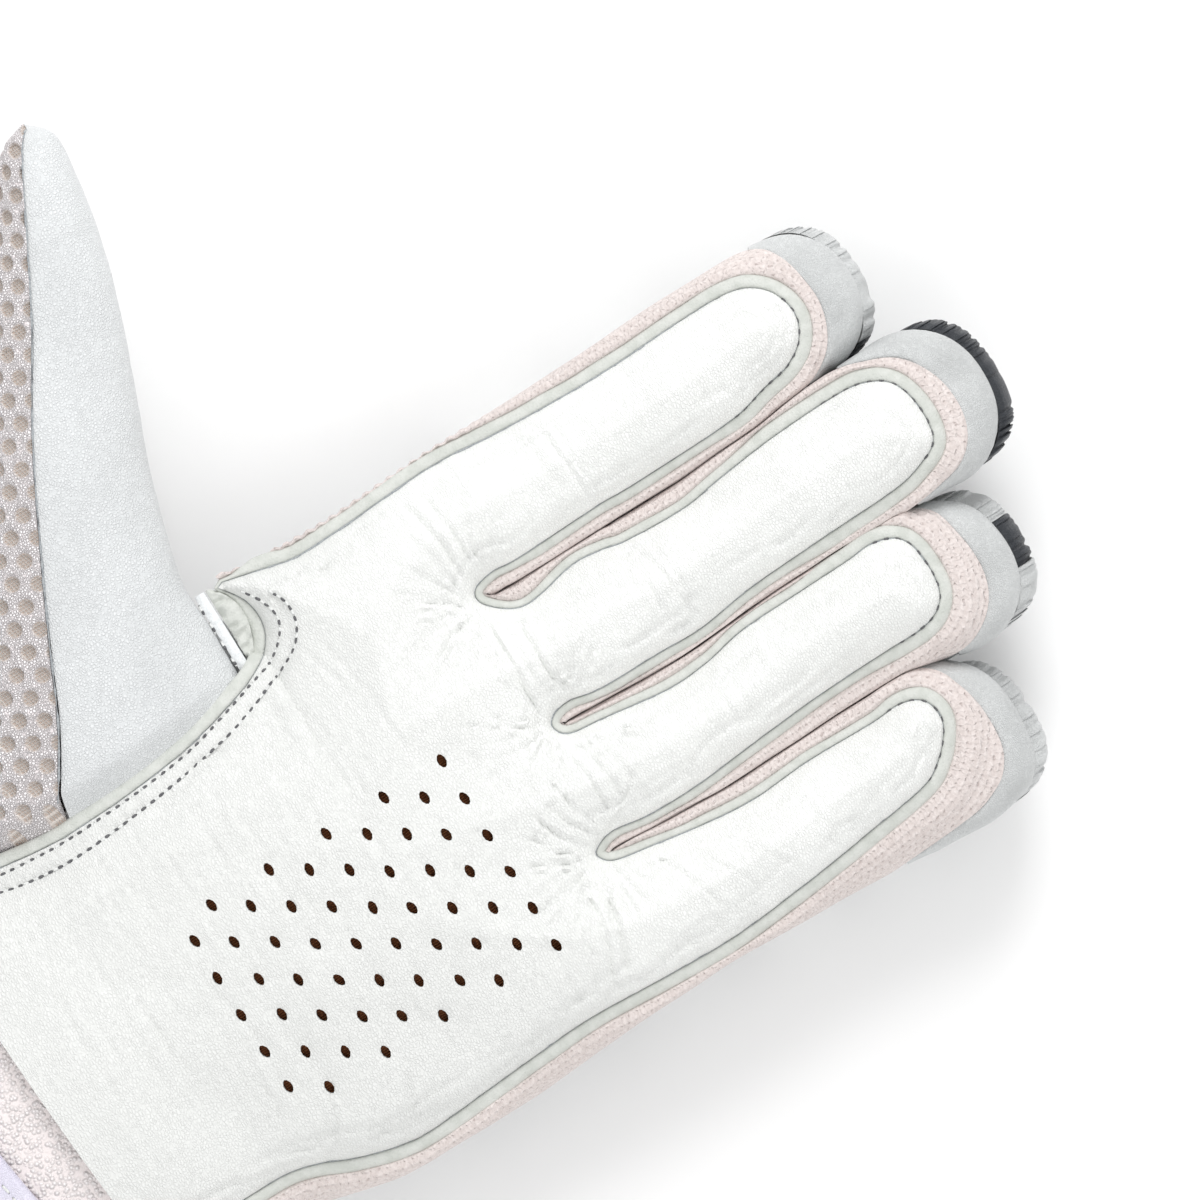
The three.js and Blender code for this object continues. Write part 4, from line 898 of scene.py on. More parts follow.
def palm_height(x, y, distance, along):
    """Seam height, a crown that rises steeply at the stitches and a broad mound, less creases and puckers."""
    thumb_side = smooth((-17.4 - x) / 10) * smooth((-37.9 - y) / 8)
    pad = 5 * (1 - 0.7 * thumb_side) * (1 - np.exp(-distance / 3.6))
    mound = 8 * smooth(distance / 40)
    roll = -0.5 * np.exp(-distance / 0.7)
    pucker = (noise(along / 1.7, 0, 3) + 0.7 * noise(along / 0.95, 0, 4)) * 0.2 * np.exp(-distance / 1.7)
    pucker = pucker - seam_wrinkles(distance, along) - row_groove(x, y)
    fine = noise(x / 7 + 0.2 * y, y / 1.15 + 0.05 * x, 8) * 0.08 + noise(x / 3, y / 2.2, 9) * 0.06
    soft = noise(x / 14, y / 9, 10) * 0.5 * smooth(distance / 6)
    hand = SEAM_HEIGHT + curl(y) + thumb_lift(x, y) + pad + mound - crease_depth(x, y) * smooth(distance / 1.5)
    share = np.minimum(0.93, np.abs(x - WRIST_X) / (WRIST_HALF_WIDTH + PALM_CLEAR))
    arch = WRIST_Z + (WRIST_HALF_HEIGHT + PALM_CLEAR) * np.sqrt(1 - share ** 2)
    wrist = arch - crease_depth(x, y) * 0.7 + 0.2
    return mix(hand + roll + soft, wrist, smooth((-88 - y) / 20)) + pucker + fine


def palm_leather():
    """A fine net of triangles over the palm's outline, cut at the vents, raised by palm_height()."""
    spacing = 0.8
    loops = vent_leaves(0, 10)
    reaches = (0.3, 0.7, 1.2)
    rings = [seam - seam_out * reach for reach in reaches]
    collars = vent_leaves(0.4, 10)
    low, high = palm_outline.min(axis=0), palm_outline.max(axis=0)
    rows = np.arange(low[1], high[1], spacing * 0.866)
    columns = np.arange(low[0], high[0], spacing)
    x = (columns[None] + (np.arange(len(rows)) % 2)[:, None] * spacing / 2).ravel()
    y = np.repeat(rows, len(columns))
    keep = inside(x, y, palm_outline)
    x, y = x[keep], y[keep]
    away, _ = nearest_on_path(x, y, seam)
    keep = away > 1.6
    wrist = WRIST_EDGE + WRIST_SLANT * (x - WRIST_X)
    keep &= y > wrist + 0.5
    for loop in vent_leaves(0.75, 10):
        near = (np.abs(x - loop[:, 0].mean()) < 3) & (np.abs(y - loop[:, 1].mean()) < 3) & keep
        spots = np.flatnonzero(near)
        keep[spots] &= ~inside(x[spots], y[spots], loop)
    grid = np.stack([x[keep], y[keep]], axis=1)
    parts = [palm_outline]
    for ring, reach in zip(rings, reaches):
        apart, _ = nearest_on_path(ring[:, 0], ring[:, 1], seam)
        good = (apart > reach * 0.93) & inside(ring[:, 0], ring[:, 1], palm_outline)
        parts.append(ring[good])
    parts += [np.concatenate(collars), grid]
    free = np.concatenate(parts)
    holes = np.concatenate(loops)
    points = np.concatenate([free, holes])
    count = len(palm_outline)
    edges = [(i, (i + 1) % count) for i in range(count)]
    base = len(free)
    for loop in loops:
        size = len(loop)
        edges += [(base + i, base + (i + 1) % size) for i in range(size)]
        base += size
    result = delaunay_2d_cdt([Vector(point) for point in points.tolist()], edges, [], 0, 1e-6)
    flat = np.array([tuple(point) for point in result[0]])
    faces = np.array(result[2])
    middle = flat[faces].mean(axis=1)
    keep = inside(middle[:, 0], middle[:, 1], palm_outline)
    for loop in loops:
        near = np.flatnonzero((np.abs(middle - loop.mean(axis=0)) < 3).all(axis=1))
        keep[near] &= ~inside(middle[near, 0], middle[near, 1], loop)
    faces = faces[keep]
    used, faces = np.unique(faces, return_inverse=True)
    faces = faces.reshape(-1, 3)
    flat = flat[used]
    distance, along = nearest_on_path(flat[:, 0], flat[:, 1], seam)
    top = palm_height(flat[:, 0], flat[:, 1], distance, along)
    for loop in loops:
        cx, cy = loop.mean(axis=0)
        spot = ((flat[:, 0] - cx) / (VENT_HALF[0] + 0.5)) ** 2 + ((flat[:, 1] - cy) / (VENT_HALF[1] + 0.6)) ** 2
        top -= 0.35 * np.exp(-spot * 0.9) * (spot < 9)
    upper = np.column_stack([flat, top])
    lower = np.column_stack([flat, top - LEATHER])
    pairs = np.concatenate([faces[:, [0, 1]], faces[:, [1, 2]], faces[:, [2, 0]]])
    known = set(map(tuple, pairs.tolist()))
    rim = np.array([pair for pair in pairs.tolist() if (pair[1], pair[0]) not in known])
    size = len(flat)
    walls = np.concatenate([
        np.stack([rim[:, 1], rim[:, 0], rim[:, 0] + size], axis=1),
        np.stack([rim[:, 1], rim[:, 0] + size, rim[:, 1] + size], axis=1),
    ])
    return np.concatenate([upper, lower]), np.concatenate([faces, faces[:, ::-1] + size, walls])


def evened_grid(z):
    """Each height as the mean of itself and its neighbours, six times over."""
    for _ in range(6):
        wide = np.pad(z, 1, mode="edge")
        z = (z + wide[2:, 1:-1] + wide[:-2, 1:-1] + wide[1:-1, 2:] + wide[1:-1, :-2]) / 5
    return z


def palm_lining():
    """A thin ribbed cloth just under the leather where the vents are, following its height."""
    x = np.linspace(-12, 40, 60)[:, None]
    y = np.linspace(-81, -19, 72)[None]
    x, y = np.broadcast_arrays(x, y)
    distance, along = nearest_on_path(x.ravel(), y.ravel(), seam)
    z = palm_height(x.ravel(), y.ravel(), distance, along).reshape(x.shape) - LEATHER - 0.9
    z = evened_grid(z)
    return shell(np.dstack([x, y, z]), np.dstack([x, y, z - 0.6]))


def binding_width(x, y):
    """The tape is narrower between the fingers and fades out at the thumb's crotch."""
    between = evened((np.abs(x + 2) < 33) * smooth((y + 9) / 4), 8) * smooth((62 - y) / 12)
    wide = BINDING - 0.65 * between - 0.3 * between * smooth((14 - y) / 6)
    return wide * mix(1.0, 0.3, smooth((8 - np.hypot(x + 55.4, y + 40)) / 7))


def binding():
    """A soft flat tape beside the stitch line: a low dome across, pressed down at the stitches."""
    across = np.linspace(0, 1, 9)
    turn = across * math.pi
    x, y = seam[:, 0], seam[:, 1]
    run = np.arange(len(seam)) * SEAM_STEP
    wide = binding_width(x, y) * (1 + 0.08 * noise(run / 6, 0, 21))
    reach = 0.1 + wide[:, None] * across[None]
    dome = 0.42 * np.sin(turn) ** 0.45 + 0.08 * noise(run[:, None] / 1.1, across[None] * 2, 22) * np.sin(turn)
    height = seam_height(x, y)[:, None] - 0.75 + dome - 0.55 * across[None] ** 2
    top = np.dstack([x[:, None] + seam_out[:, :1] * reach, y[:, None] + seam_out[:, 1:] * reach, height])
    under = top.copy()
    under[..., 2] = seam_height(x, y)[:, None] - 1.65 - 0.35 * across[None]
    return shell(top, under)


# Side cloth and fingertips
def bound(order, y, side):
    """The slit or silhouette beside a finger, as x at each y."""
    place = order - 1 if side == "left" else order
    if place < 0:
        return np.interp(y, SIDE_Y, INDEX_SIDE)
    if place > 2:
        return np.interp(y, SIDE_Y, LITTLE_SIDE)
    return np.interp(y, SLIT_Y, SLITS[place])


def tip_line(order, tip, extra=3.0):
    """A finger's outer line: up its left bound, round the tip on a squarish oval and down its right bound."""
    finger = FINGERS[order]
    start, stop = tip - finger["drop_left"] - extra, tip - finger["drop_right"] - extra
    left_y = np.linspace(-125 if order == 0 else -12, start, 60)
    right_y = np.linspace(stop, -125 if order == 3 else -12, 60)
    left, right = bound(order, left_y, "left"), bound(order, right_y, "right")
    apex = (bound(order, tip, "left") + bound(order, tip, "right")) / 2
    turn = np.linspace(0, HALF_PI, 16)[1:]
    rise = np.stack([apex + (left[-1] - apex) * np.cos(turn) ** 0.9, mix(start, tip, np.sin(turn) ** 0.9)], axis=1)
    turn = turn[::-1][1:]
    fall = np.stack([apex + (right[0] - apex) * np.cos(turn) ** 0.9, mix(stop, tip, np.sin(turn) ** 0.9)], axis=1)
    return np.concatenate([np.stack([left, left_y], axis=1), rise, fall, np.stack([right, right_y], axis=1)])


def ray_reach(points, normals, line, limit):
    """How far each point can go along its normal before it meets the line."""
    start, step = line[:-1], np.diff(line, axis=0)
    gap = start[None] - points[:, None]
    cross = normals[:, None, 0] * step[None, :, 1] - normals[:, None, 1] * step[None, :, 0]
    cross = np.where(np.abs(cross) < 1e-9, 1e-9, cross)
    reach = (gap[..., 0] * step[:, 1] - gap[..., 1] * step[:, 0]) / cross
    share = (gap[..., 0] * normals[:, None, 1] - gap[..., 1] * normals[:, None, 0]) / cross
    good = (reach > 0) & (share >= -0.001) & (share <= 1.001)
    return np.minimum(np.where(good, reach, limit).min(axis=1), limit)


def finger_stretch(order):
    """The part of the stitch line that belongs to one finger, as a range of its points."""
    marks = [index_start]
    for x, y in ((-27.2, -0.8), (-0.4, -1.6), (24.6, -7.2)):
        marks.append(int(np.hypot(seam[:, 0] - x, seam[:, 1] - y).argmin()))
    marks.append(len(seam) - 1)
    return marks[order], marks[order + 1] + 1


def wall_setting(order):
    """Feet of a finger's wall, outward directions, reach to the silhouette, and the share where cloth ends."""
    first, last = finger_stretch(order)
    feet, out = seam[first:last], seam_out[first:last]
    finger = FINGERS[order]
    reach = ray_reach(feet, out, tip_line(order, finger["cap"]), 19.0)
    low = np.array([-0.8, -1.6, -7.2])
    for place in (order - 1, order):
        if 0 <= place < 3:
            x = np.interp(low[place], SLIT_Y, SLITS[place])
            apart = np.hypot(feet[:, 0] - x, feet[:, 1] - low[place])
            reach = np.minimum(reach, 3.0 + np.maximum(0, apart - 3) * 1.5)
    reach = np.maximum(evened(reach, 3), 1.6)
    share = ray_reach(feet, out, even_path(CLOTH_LINES[order], 1.0), 99.0) / reach
    share = np.clip(share, 0.1, 1)
    return feet, out, reach, evened(share, 3)


def wall_point(feet, out, reach, share, thickness):
    """From the seam outwards and down to the back panel, on a quarter oval that is squarer where it is narrow."""
    share = np.clip(share, 0, 1)
    power = mix(9.0, 2.6, smooth((reach[:, None] - 3.6) / 4))
    drop = 1 - np.maximum(0, 1 - share ** power) ** (1 / power)
    inset = np.maximum(reach[:, None] - thickness, 0.3)
    start = np.minimum(0.5, inset * 0.3)
    far = start + share * (inset - start)
    x = feet[:, :1] + out[:, :1] * far
    y = feet[:, 1:] + out[:, 1:] * far
    top = seam_height(feet[:, 0], feet[:, 1])[:, None] - LEATHER - GAP - thickness
    floor = back_bottom(y) + LEATHER + GAP
    past = far - binding_width(feet[:, 0], feet[:, 1])[:, None]
    roll = 1.35 * smooth((past + 0.5) / 1.0) * (1 - smooth((past - 3.4) / 3))
    return np.dstack([x, y, mix(top + roll, floor, drop)])


def wall_map(points):
    """Lengths along and across a grid of points, for the cloth's weave."""
    along = np.linalg.norm(np.diff(points[:, 0], axis=0), axis=1)
    across = np.linalg.norm(np.diff(points, axis=1), axis=2)
    first = np.concatenate([[0], np.cumsum(along)])
    second = np.concatenate([np.zeros((len(points), 1)), np.cumsum(across, axis=1)], axis=1)
    return np.stack([np.broadcast_to(first[:, None], second.shape), second], axis=-1).reshape(-1, 2)


def gusset(order):
    """A finger's side cloth: out and down from the stitches as far as the cap, softly uneven."""
    feet, out, reach, cloth = wall_setting(order)
    turn = np.linspace(0, HALF_PI, 25)
    share = np.sin(turn)[None] ** 0.7 * cloth[:, None]
    outer = wall_point(feet, out, reach, share, 0.0)
    inner = wall_point(feet, out, reach, share, CLOTH)
    run = np.arange(len(feet)) * SEAM_STEP
    ease = (np.sin(turn) * np.cos(turn) * 2)[None]
    swell = 0.35 * noise(run[:, None] / 9, turn[None] * 2, 40 + order) * ease
    scallop = 0.28 * np.sin(run * 2 * math.pi / 2.6)[:, None] * (share > 0.55) * (feet[:, :1] < -45)
    scallop = scallop * smooth((25 - feet[:, 1:]) / 20)
    push = (swell + scallop)[..., None]
    outer[..., :2] += out[:, None] * push
    outer[..., 2:] += push * 0.4
    points, faces = shell(outer, inner)
    flow = wall_map(outer)
    return (points, faces), np.concatenate([flow, flow])


def tip_cap(order):
    """The coated band that goes on from the cloth, down to the roll, fuller in its middle."""
    feet, out, reach, cloth = wall_setting(order)
    rows = np.flatnonzero(cloth < 0.93)
    feet, out, reach, cloth = feet[rows], out[rows], reach[rows], cloth[rows]
    turn = np.linspace(0, 1, 15)
    start = np.arcsin(np.clip(cloth, 0, 1))[:, None]
    share = np.sin(mix(start, HALF_PI, turn[None]))
    outer = wall_point(feet, out, reach, share, 0.0)
    inner = wall_point(feet, out, reach, share, CLOTH)
    ends = smooth(np.minimum(np.arange(len(rows)), np.arange(len(rows))[::-1]) / 8)[:, None]
    swell = 0.7 * np.sin(turn * math.pi)[None] ** 0.7 * ends
    swell = swell + 0.2 * noise(np.arange(len(rows))[:, None] / 5, turn[None] * 3, 50 + order) * ends
    gather = np.maximum(0, noise(np.arange(len(rows))[:, None] / 2.6, 0, 57 + order) - 0.25)
    swell = swell - 0.8 * gather * np.exp(-((turn[None] - 0.12) / 0.16) ** 2) * ends
    outer[..., :2] += out[:, None] * swell[..., None] * 0.5
    outer[..., 2] += swell * 0.9
    outer[:, 0, 2] -= 0.15
    return shell(outer, inner)


def tip_arc(order, tip, steps, slack=0.0):
    """Squarish oval round a fingertip, between the lines of its rolls."""
    at = tip - 14
    left = roll_bound(order, at, "left") - slack
    right = roll_bound(order, at, "right") + slack
    turn = math.pi * np.linspace(0.03, 0.97, steps)
    side = np.cos(turn)
    x = (left + right) / 2 - np.sign(side) * (right - left) / 2 * np.abs(side) ** 0.8
    return np.stack([x, tip - 12 + 12 * np.sin(turn) ** 0.8], axis=1)


def roll_bound(order, y, side):
    """The side of a finger's pads, as x at each y."""
    place = order - 1 if side == "left" else order
    if place < 0:
        return np.interp(y, SIDE_Y, INDEX_SIDE)
    if place > 2:
        return np.interp(y, SIDE_Y, LITTLE_SIDE)
    return np.interp(y, ROLL_SLIT_Y, ROLL_SLITS[place]) + (0.25 if side == "left" else -0.25)


def ruffle(order, first=0.0, last=1.0):
    """A gathered band: an arc round the tip that bulges out below the cap, with narrow valleys at uneven steps."""
    finger = FINGERS[order]
    steps = 321
    far, near = tip_arc(order, finger["ruffle"], steps), tip_arc(order, finger["cap"] - 0.5, steps)
    place = np.linspace(0, 1, steps)
    phase = place * 13 + 0.9 * noise(place * 6, 0, 60 + order)
    pleat = np.round(phase)
    skew = 0.25 * noise(pleat * 2.3, 0, 66 + order)
    level = np.linspace(0, 1, 15)
    apart = phase[:, None] - pleat[:, None] + skew[:, None] * (level[None] - 0.3)
    deep = np.exp(-(apart / 0.2) ** 2) * (0.8 + 0.5 * noise(pleat * 1.37, 0, 70 + order))[:, None]
    round_top = 0.06 * np.cos(apart * 2 * math.pi)
    keep = (place >= first) & (place <= last)
    bulge = np.sin(level * 0.97 * math.pi)[None] ** 0.5
    height = mix(1.1, 0.26, level)[None]
    reach = bulge * (1 + round_top - 0.2 * deep)
    x = near[:, :1] + (far - near)[:, :1] * reach
    y = near[:, 1:] + (far - near)[:, 1:] * reach
    folds = (1.9 * deep - 1.3 * apart) * np.sin(np.minimum(level * 1.6, 1) * math.pi)[None]
    z = curl(y) + ROLL_HEIGHT * height - folds
    outer = np.dstack([x, y, z])
    ix = np.broadcast_to(near[:, :1] - (far - near)[:, :1] * 0.15, x.shape)
    iy = np.broadcast_to(near[:, 1:] - 0.6, y.shape)
    inner = np.dstack([ix, iy, curl(iy) + ROLL_HEIGHT * mix(height, 0.6, 0.15)])
    return shell(outer[keep], inner[keep])


# Padded rolls
def roll(left, right, start, stop, bottom, top, seed, tip=0.0):
    """A pad: rounded boxes stacked on a full profile from the middle of its underside to the middle of its top."""
    around, levels = 120, 33
    turn = np.arange(around) / around * 2 * math.pi + 1e-4
    c, s = np.cos(turn), np.sin(turn)
    ex = np.where(s > 0, mix(0.3, 0.75, tip), 0.3)
    bx = np.sign(c) * np.abs(c) ** ex
    by = np.sign(s) * np.abs(s) ** ex
    lean = np.linspace(-HALF_PI, HALF_PI, levels)
    wide = np.abs(np.cos(lean)) ** 0.36
    wide[[0, -1]] = 0.0
    tall = np.sign(np.sin(lean)) * np.abs(np.sin(lean)) ** 0.5
    cy, hy = (start + stop) / 2, (stop - start) / 2
    y = cy + hy * by[:, None] * wide[None]
    low_x, high_x = left(y), right(y)
    x = (low_x + high_x) / 2 + (high_x - low_x) / 2 * bx[:, None] * wide[None]
    z = mix(bottom(x, y), top(x, y), (tall[None] + 1) / 2)
    ripple = noise(x / 6 + seed, y / 5, seed) * 0.25 + noise(turn[:, None] * 12, lean[None] * 3, seed + 1) * 0.12
    side = np.cos(lean)[None] ** 2
    x = x - c[:, None] * (0.3 + 0.3 * ripple) * side
    y = y - s[:, None] * (0.3 + 0.3 * ripple) * side
    z = z - 0.6 * ripple * np.abs(np.sin(lean))[None] ** 4 * (lean[None] > 0)
    points = np.dstack([x, y, z])[:, 1:-1]
    size = levels - 2
    faces = grid_faces(around, size, wrap_rows=True)
    body = points.reshape(-1, 3)
    poles = np.array([[axis[:, end].mean() for axis in (x, y, z)] for end in (0, -1)])
    i = np.arange(around)
    k = (i + 1) % around
    low = np.stack([np.full(around, len(body)), k * size, i * size, i * size], axis=1)
    top_i, top_k = (i + 1) * size - 1, (k + 1) * size - 1
    high = np.stack([np.full(around, len(body) + 1), top_i, top_k, top_k], axis=1)
    return np.concatenate([body, poles]), np.concatenate([faces, low, high])


def finger_roll(order, part):
    """One of three pads along a finger, on a straight line that touches the finger's curl."""
    cuts = [0, 0.34, 0.66, 1]
    end = FINGERS[order]["cap"] - 1.4
    start = mix(FINGER_ROLL_START, end, cuts[part]) + GAP / 2
    stop = mix(FINGER_ROLL_START, end, cuts[part + 1]) - GAP / 2
    sag = CURL_RISE * ((stop - start) / 2 / CURL_RUN) ** 2

    def low(x, y):
        return mix(curl(start), curl(stop), (y - start) / (stop - start)) - sag

    return roll(
        lambda y: roll_bound(order, y, "left"), lambda y: roll_bound(order, y, "right"), start, stop,
        low, lambda x, y: low(x, y) + ROLL_HEIGHT, 80 + order * 3 + part, 1.0 if part == 2 else 0.0,
    )


def hand_roll(order):
    """A pad across the back of the hand, level below and as high as the back panel, narrower at the wrist."""
    def narrow(y):
        return 9.05 * smooth((-65.5 - y) / 36.3)

    start, stop = HAND_ROLL_ENDS[order] + GAP / 2, HAND_ROLL_ENDS[order + 1] - GAP / 2
    return roll(
        lambda y: KNUCKLE_ROLL_LEFT + narrow(y) * 1.6, lambda y: 53.04 - narrow(y), start, stop,
        lambda x, y: 0.0, lambda x, y: back_bottom(y) - GAP, 100 + order,
    )


# Thumb
def thumb_point(share, angle, thickness):
    """An oval across the thumb between its two edges, at a share of its length and an angle round it."""
    row = dict(zip(THUMB_COLUMNS, np.moveaxis(spline(THUMB, share * (len(THUMB) - 1)), -1, 0)))
    cx, cy = (row["ux"] + row["lx"]) / 2, (row["uy"] + row["ly"]) / 2
    half = np.hypot(row["ux"] - cx, row["uy"] - cy)
    across = np.cos(angle) * np.maximum(0.3, (half - thickness) / half)
    x = cx + (row["ux"] - cx) * across + row["bow"] * np.sin(angle) ** 2
    y = cy + (row["uy"] - cy) * across
    z = row["z"] + np.maximum(row["half"] * 0.3, row["half"] - thickness) * np.sin(angle)
    return np.stack([x, y, z], axis=-1)


def thumb_seam(share):
    """The angle of the seam between leather and net, from its share of the width."""
    return np.arccos(1 - 2 * spline(THUMB, share * (len(THUMB) - 1))[..., 4])


def thumb_shell(low, high, rows, columns, swell):
    """Part of the thumb's oval between two angles, drawn to a point at the tip."""
    share = np.linspace(0, 1, rows)[:, None]
    angle = mix(low(share), high(share), np.linspace(0, 1, columns)[None])
    share = np.broadcast_to(share, angle.shape)
    outer = thumb_point(share, angle, 0.0)
    inner = thumb_point(share, angle, LEATHER)
    centre = thumb_point(share, np.full_like(angle, HALF_PI), 0.0)
    tip = np.array([-147.1, -25.4, 35.4])
    close = smooth((share[..., None] - 0.985) / 0.015)
    outer = mix(outer, tip, close * 0.98)
    inner = mix(inner, tip - [-1.5, 0, 0], close * 0.98)
    direction = outer - np.dstack([centre[..., 0], centre[..., 1], np.full_like(centre[..., 2], THUMB[0, 5])])
    direction /= np.maximum(np.linalg.norm(direction, axis=-1, keepdims=True), 0.001)
    around = np.linalg.norm(np.diff(outer, axis=1), axis=-1).cumsum(axis=1)
    around = np.concatenate([np.zeros((rows, 1)), around], axis=1)
    flow = np.stack([outer[..., 0], around - outer[:, :1, 1]], axis=-1)
    outer = outer + direction * swell(outer, share, angle, flow)[..., None]
    tuck = smooth((0.035 - share) / 0.035)
    for skin, under in ((outer, 2.3), (inner, 3.9)):
        skin[..., 0] += 3.4 * tuck * np.maximum(0, np.sin(angle))
        held = np.minimum(skin[..., 2], seam_height(skin[..., 0], skin[..., 1]) - under)
        skin[..., 2] = mix(skin[..., 2], np.where(np.sin(angle) > 0, held, skin[..., 2]), tuck)
    points, faces = shell(outer, inner)
    return (points, faces), np.concatenate([flow.reshape(-1, 2)] * 2)


def leather_swell(points, share, angle, flow):
    """Broad soft dents, and a rolled edge beside the seam to the mesh."""
    x, y = points[..., 0], points[..., 1]
    away = (thumb_seam(share) - angle) * 16
    edge = -0.45 * np.exp(-np.maximum(away, 0) / 0.7)
    return 0.35 * noise(x / 17, y / 13, 201) + 0.08 * noise(x / 3, y / 4, 202) + edge


def pit_depth(flow):
    """1 inside the mesh's round pits, which stand in staggered rows, and 0 between them."""
    u, v = flow[..., 0] / MESH_ALONG, flow[..., 1] / MESH_AROUND
    first = np.hypot((u % 1 - 0.5) * MESH_ALONG, (v % 1 - 0.5) * MESH_AROUND)
    second = np.hypot(((u + 0.5) % 1 - 0.5) * MESH_ALONG, ((v + 0.5) % 1 - 0.5) * MESH_AROUND)
    return 1 - smooth((np.minimum(first, second) - 1.1) / 0.7)


def mesh_swell(points, share, angle, flow):
    """Broad soft dents, round pits, and a low edge beside the seam to the leather."""
    x, y = points[..., 0], points[..., 1]
    edge = -0.15 * np.exp(-np.maximum((angle - thumb_seam(share)) * 16, 0) / 0.6)
    return 0.3 * noise(x / 15, y / 12, 211) + edge - 0.95 * pit_depth(flow) + 0.35


def thumb_pad(first, last, seed):
    """A pad under the thumb: it swells from the mesh by up to 9 mm between its four edges."""
    share = np.linspace(first, last, 60)[:, None]
    angle = np.linspace(-2.75, -0.4, 60)[None]
    share, angle = np.broadcast_arrays(share, angle)
    u = (share - first) / (last - first)
    v = (angle + 2.75) / 2.35
    swell = 9 * np.sin(math.pi * mix(0.04, 0.96, u)) ** 0.4 * np.sin(math.pi * mix(0.04, 0.96, v)) ** 0.5
    swell = swell * (1 + 0.03 * noise(u * 6, v * 5, seed)) - 0.1
    outer = thumb_point(share, angle, -swell - GAP)
    edge = thumb_point(share, np.where(angle > -HALF_PI, 0.0, -math.pi), 0.6)
    centre = thumb_point(share, np.full_like(angle, -HALF_PI), 0.0)
    beyond = ((outer - centre)[..., :2] ** 2).sum(axis=-1) / ((edge - centre)[..., :2] ** 2).sum(axis=-1)
    held = np.sqrt(np.maximum(beyond, 0.001)) / np.tanh(np.sqrt(np.maximum(beyond, 0.001)) * 1.15)
    outer[..., :2] = centre[..., :2] + (outer - centre)[..., :2] / np.maximum(held, 1.0)[..., None]
    inner = thumb_point(share, angle, -0.45)
    return shell(outer, inner)


# Wrist
def oval(angle, grow, y):
    """The wrist's oval, grown all round, at angles and places along it."""
    x = WRIST_X + (WRIST_HALF_WIDTH + grow) * np.cos(angle)
    z = WRIST_Z + (WRIST_HALF_HEIGHT + grow) * np.sin(angle)
    return np.dstack(np.broadcast_arrays(x, y, z))


def wristband():
    """An oval tube of looped cloth: small hills at random, rounded at both ends."""
    turn = (np.arange(264) / 264 * 2 * math.pi)[:, None]
    y = np.linspace(BAND_START, BAND_END, 78)[None]
    loops = noise(turn * 40, y * 0.95, 301) * 0.22 + noise(turn * 78, y * 1.9, 302) * 0.16
    ends = np.exp(-(y - BAND_END) / 1.2) + np.exp((y - BAND_START) / 1.2)
    outer = oval(turn, loops - 0.3 - 0.9 * ends, y)
    inner = oval(turn, -TERRY + loops * 0.6 + 0.9 * ends, y)
    return shell(outer, inner, wrap=True)


def strap_grow(angle):
    """How far the strap lies outside the wrist's oval: more where it covers its own start."""
    return GAP + 0.2 + (STRAP + GAP) * smooth((angle - STRAP_START - STRAP_OVERLAP) / 0.7)


def strap_edge(angle):
    """The strap's edge nearest the palm, slanted across the wrist."""
    return STRAP_EDGE + STRAP_SLANT * WRIST_HALF_WIDTH * np.cos(angle)


def wrist_strap():
    """A flat strap once round the wristband and over its own end, with rounded edges."""
    angle = np.linspace(STRAP_START, STRAP_START + STRAP_TURN, 360)[:, None]
    across = np.linspace(0, 1, 34)[None]
    y = strap_edge(angle) - STRAP_WIDTH * across
    edge = np.minimum(across, 1 - across) * STRAP_WIDTH
    round_off = 0.7 * np.exp(-edge / 0.5)
    groove = 0.22 * np.exp(-((edge - 3.0) / 0.6) ** 2)
    wave = 0.12 * noise(angle * 9, y / 7, 320)
    outer = oval(angle, strap_grow(angle) + STRAP - round_off - groove + wave, y)
    inner = oval(angle, strap_grow(angle) + round_off * 0.6, y)
    return shell(outer, inner)


def strap_row(inset, first, last, lift):
    """A line round the strap at an inset from its edge."""
    angle = np.linspace(first, last, 300)
    y = strap_edge(angle) - inset
    return oval(angle[:, None], (strap_grow(angle) + STRAP + lift)[:, None], y[:, None])[:, 0]


def heel_gusset():
    """A cloth wall below the thumb, from the back panel up to the thumb's oval and the palm's edge."""
    y = np.linspace(-93.0, -111.4, 30)[:, None]
    share = np.clip((-45.9 - y) / 63.1, 0, 1)
    under = 31.5 - 11.5 * np.sqrt(np.maximum(0, 1 - (2 * share - 1) ** 2)) - GAP
    top = mix(under, seam_height(-33.5, y) - LEATHER - 2 * GAP, smooth((-108 - y) / 2.5))
    low = back_bottom(y) + LEATHER + 4 * GAP
    rise = np.linspace(0, 1, 16)[None]
    z = mix(low, np.maximum(top, low + 0.5), rise)
    x = -36.2 - 0.5 * np.sin(rise * math.pi)
    outer = np.dstack(np.broadcast_arrays(x, y, z))
    inner = np.dstack(np.broadcast_arrays(x + CLOTH, y, z))
    flow = wall_map(outer)
    return shell(outer, inner), np.concatenate([flow, flow])


def crotch_strip(low, high, rise, wrinkle, base, seed):
    """A narrow strip across the thumb's crotch, wrinkled along its length."""
    x = np.linspace(-56.0, -39.4, 120)[:, None]
    across = np.linspace(0, 1, 14)[None]
    share = (x + 56.0) / 16.6
    far = high + rise * np.sin(math.pi * share ** 0.8)
    y = mix(low, far, across)
    crinkle = wrinkle * noise(x / 0.9, across * 2.5 + x * 0.1, seed)
    z = SEAM_HEIGHT + base + 0.35 * np.sin(across * math.pi) + crinkle
    outer = np.dstack(np.broadcast_arrays(x, y, z))
    inner = np.dstack(np.broadcast_arrays(x, y, SEAM_HEIGHT + base - 1.0))
    return shell(outer, inner)


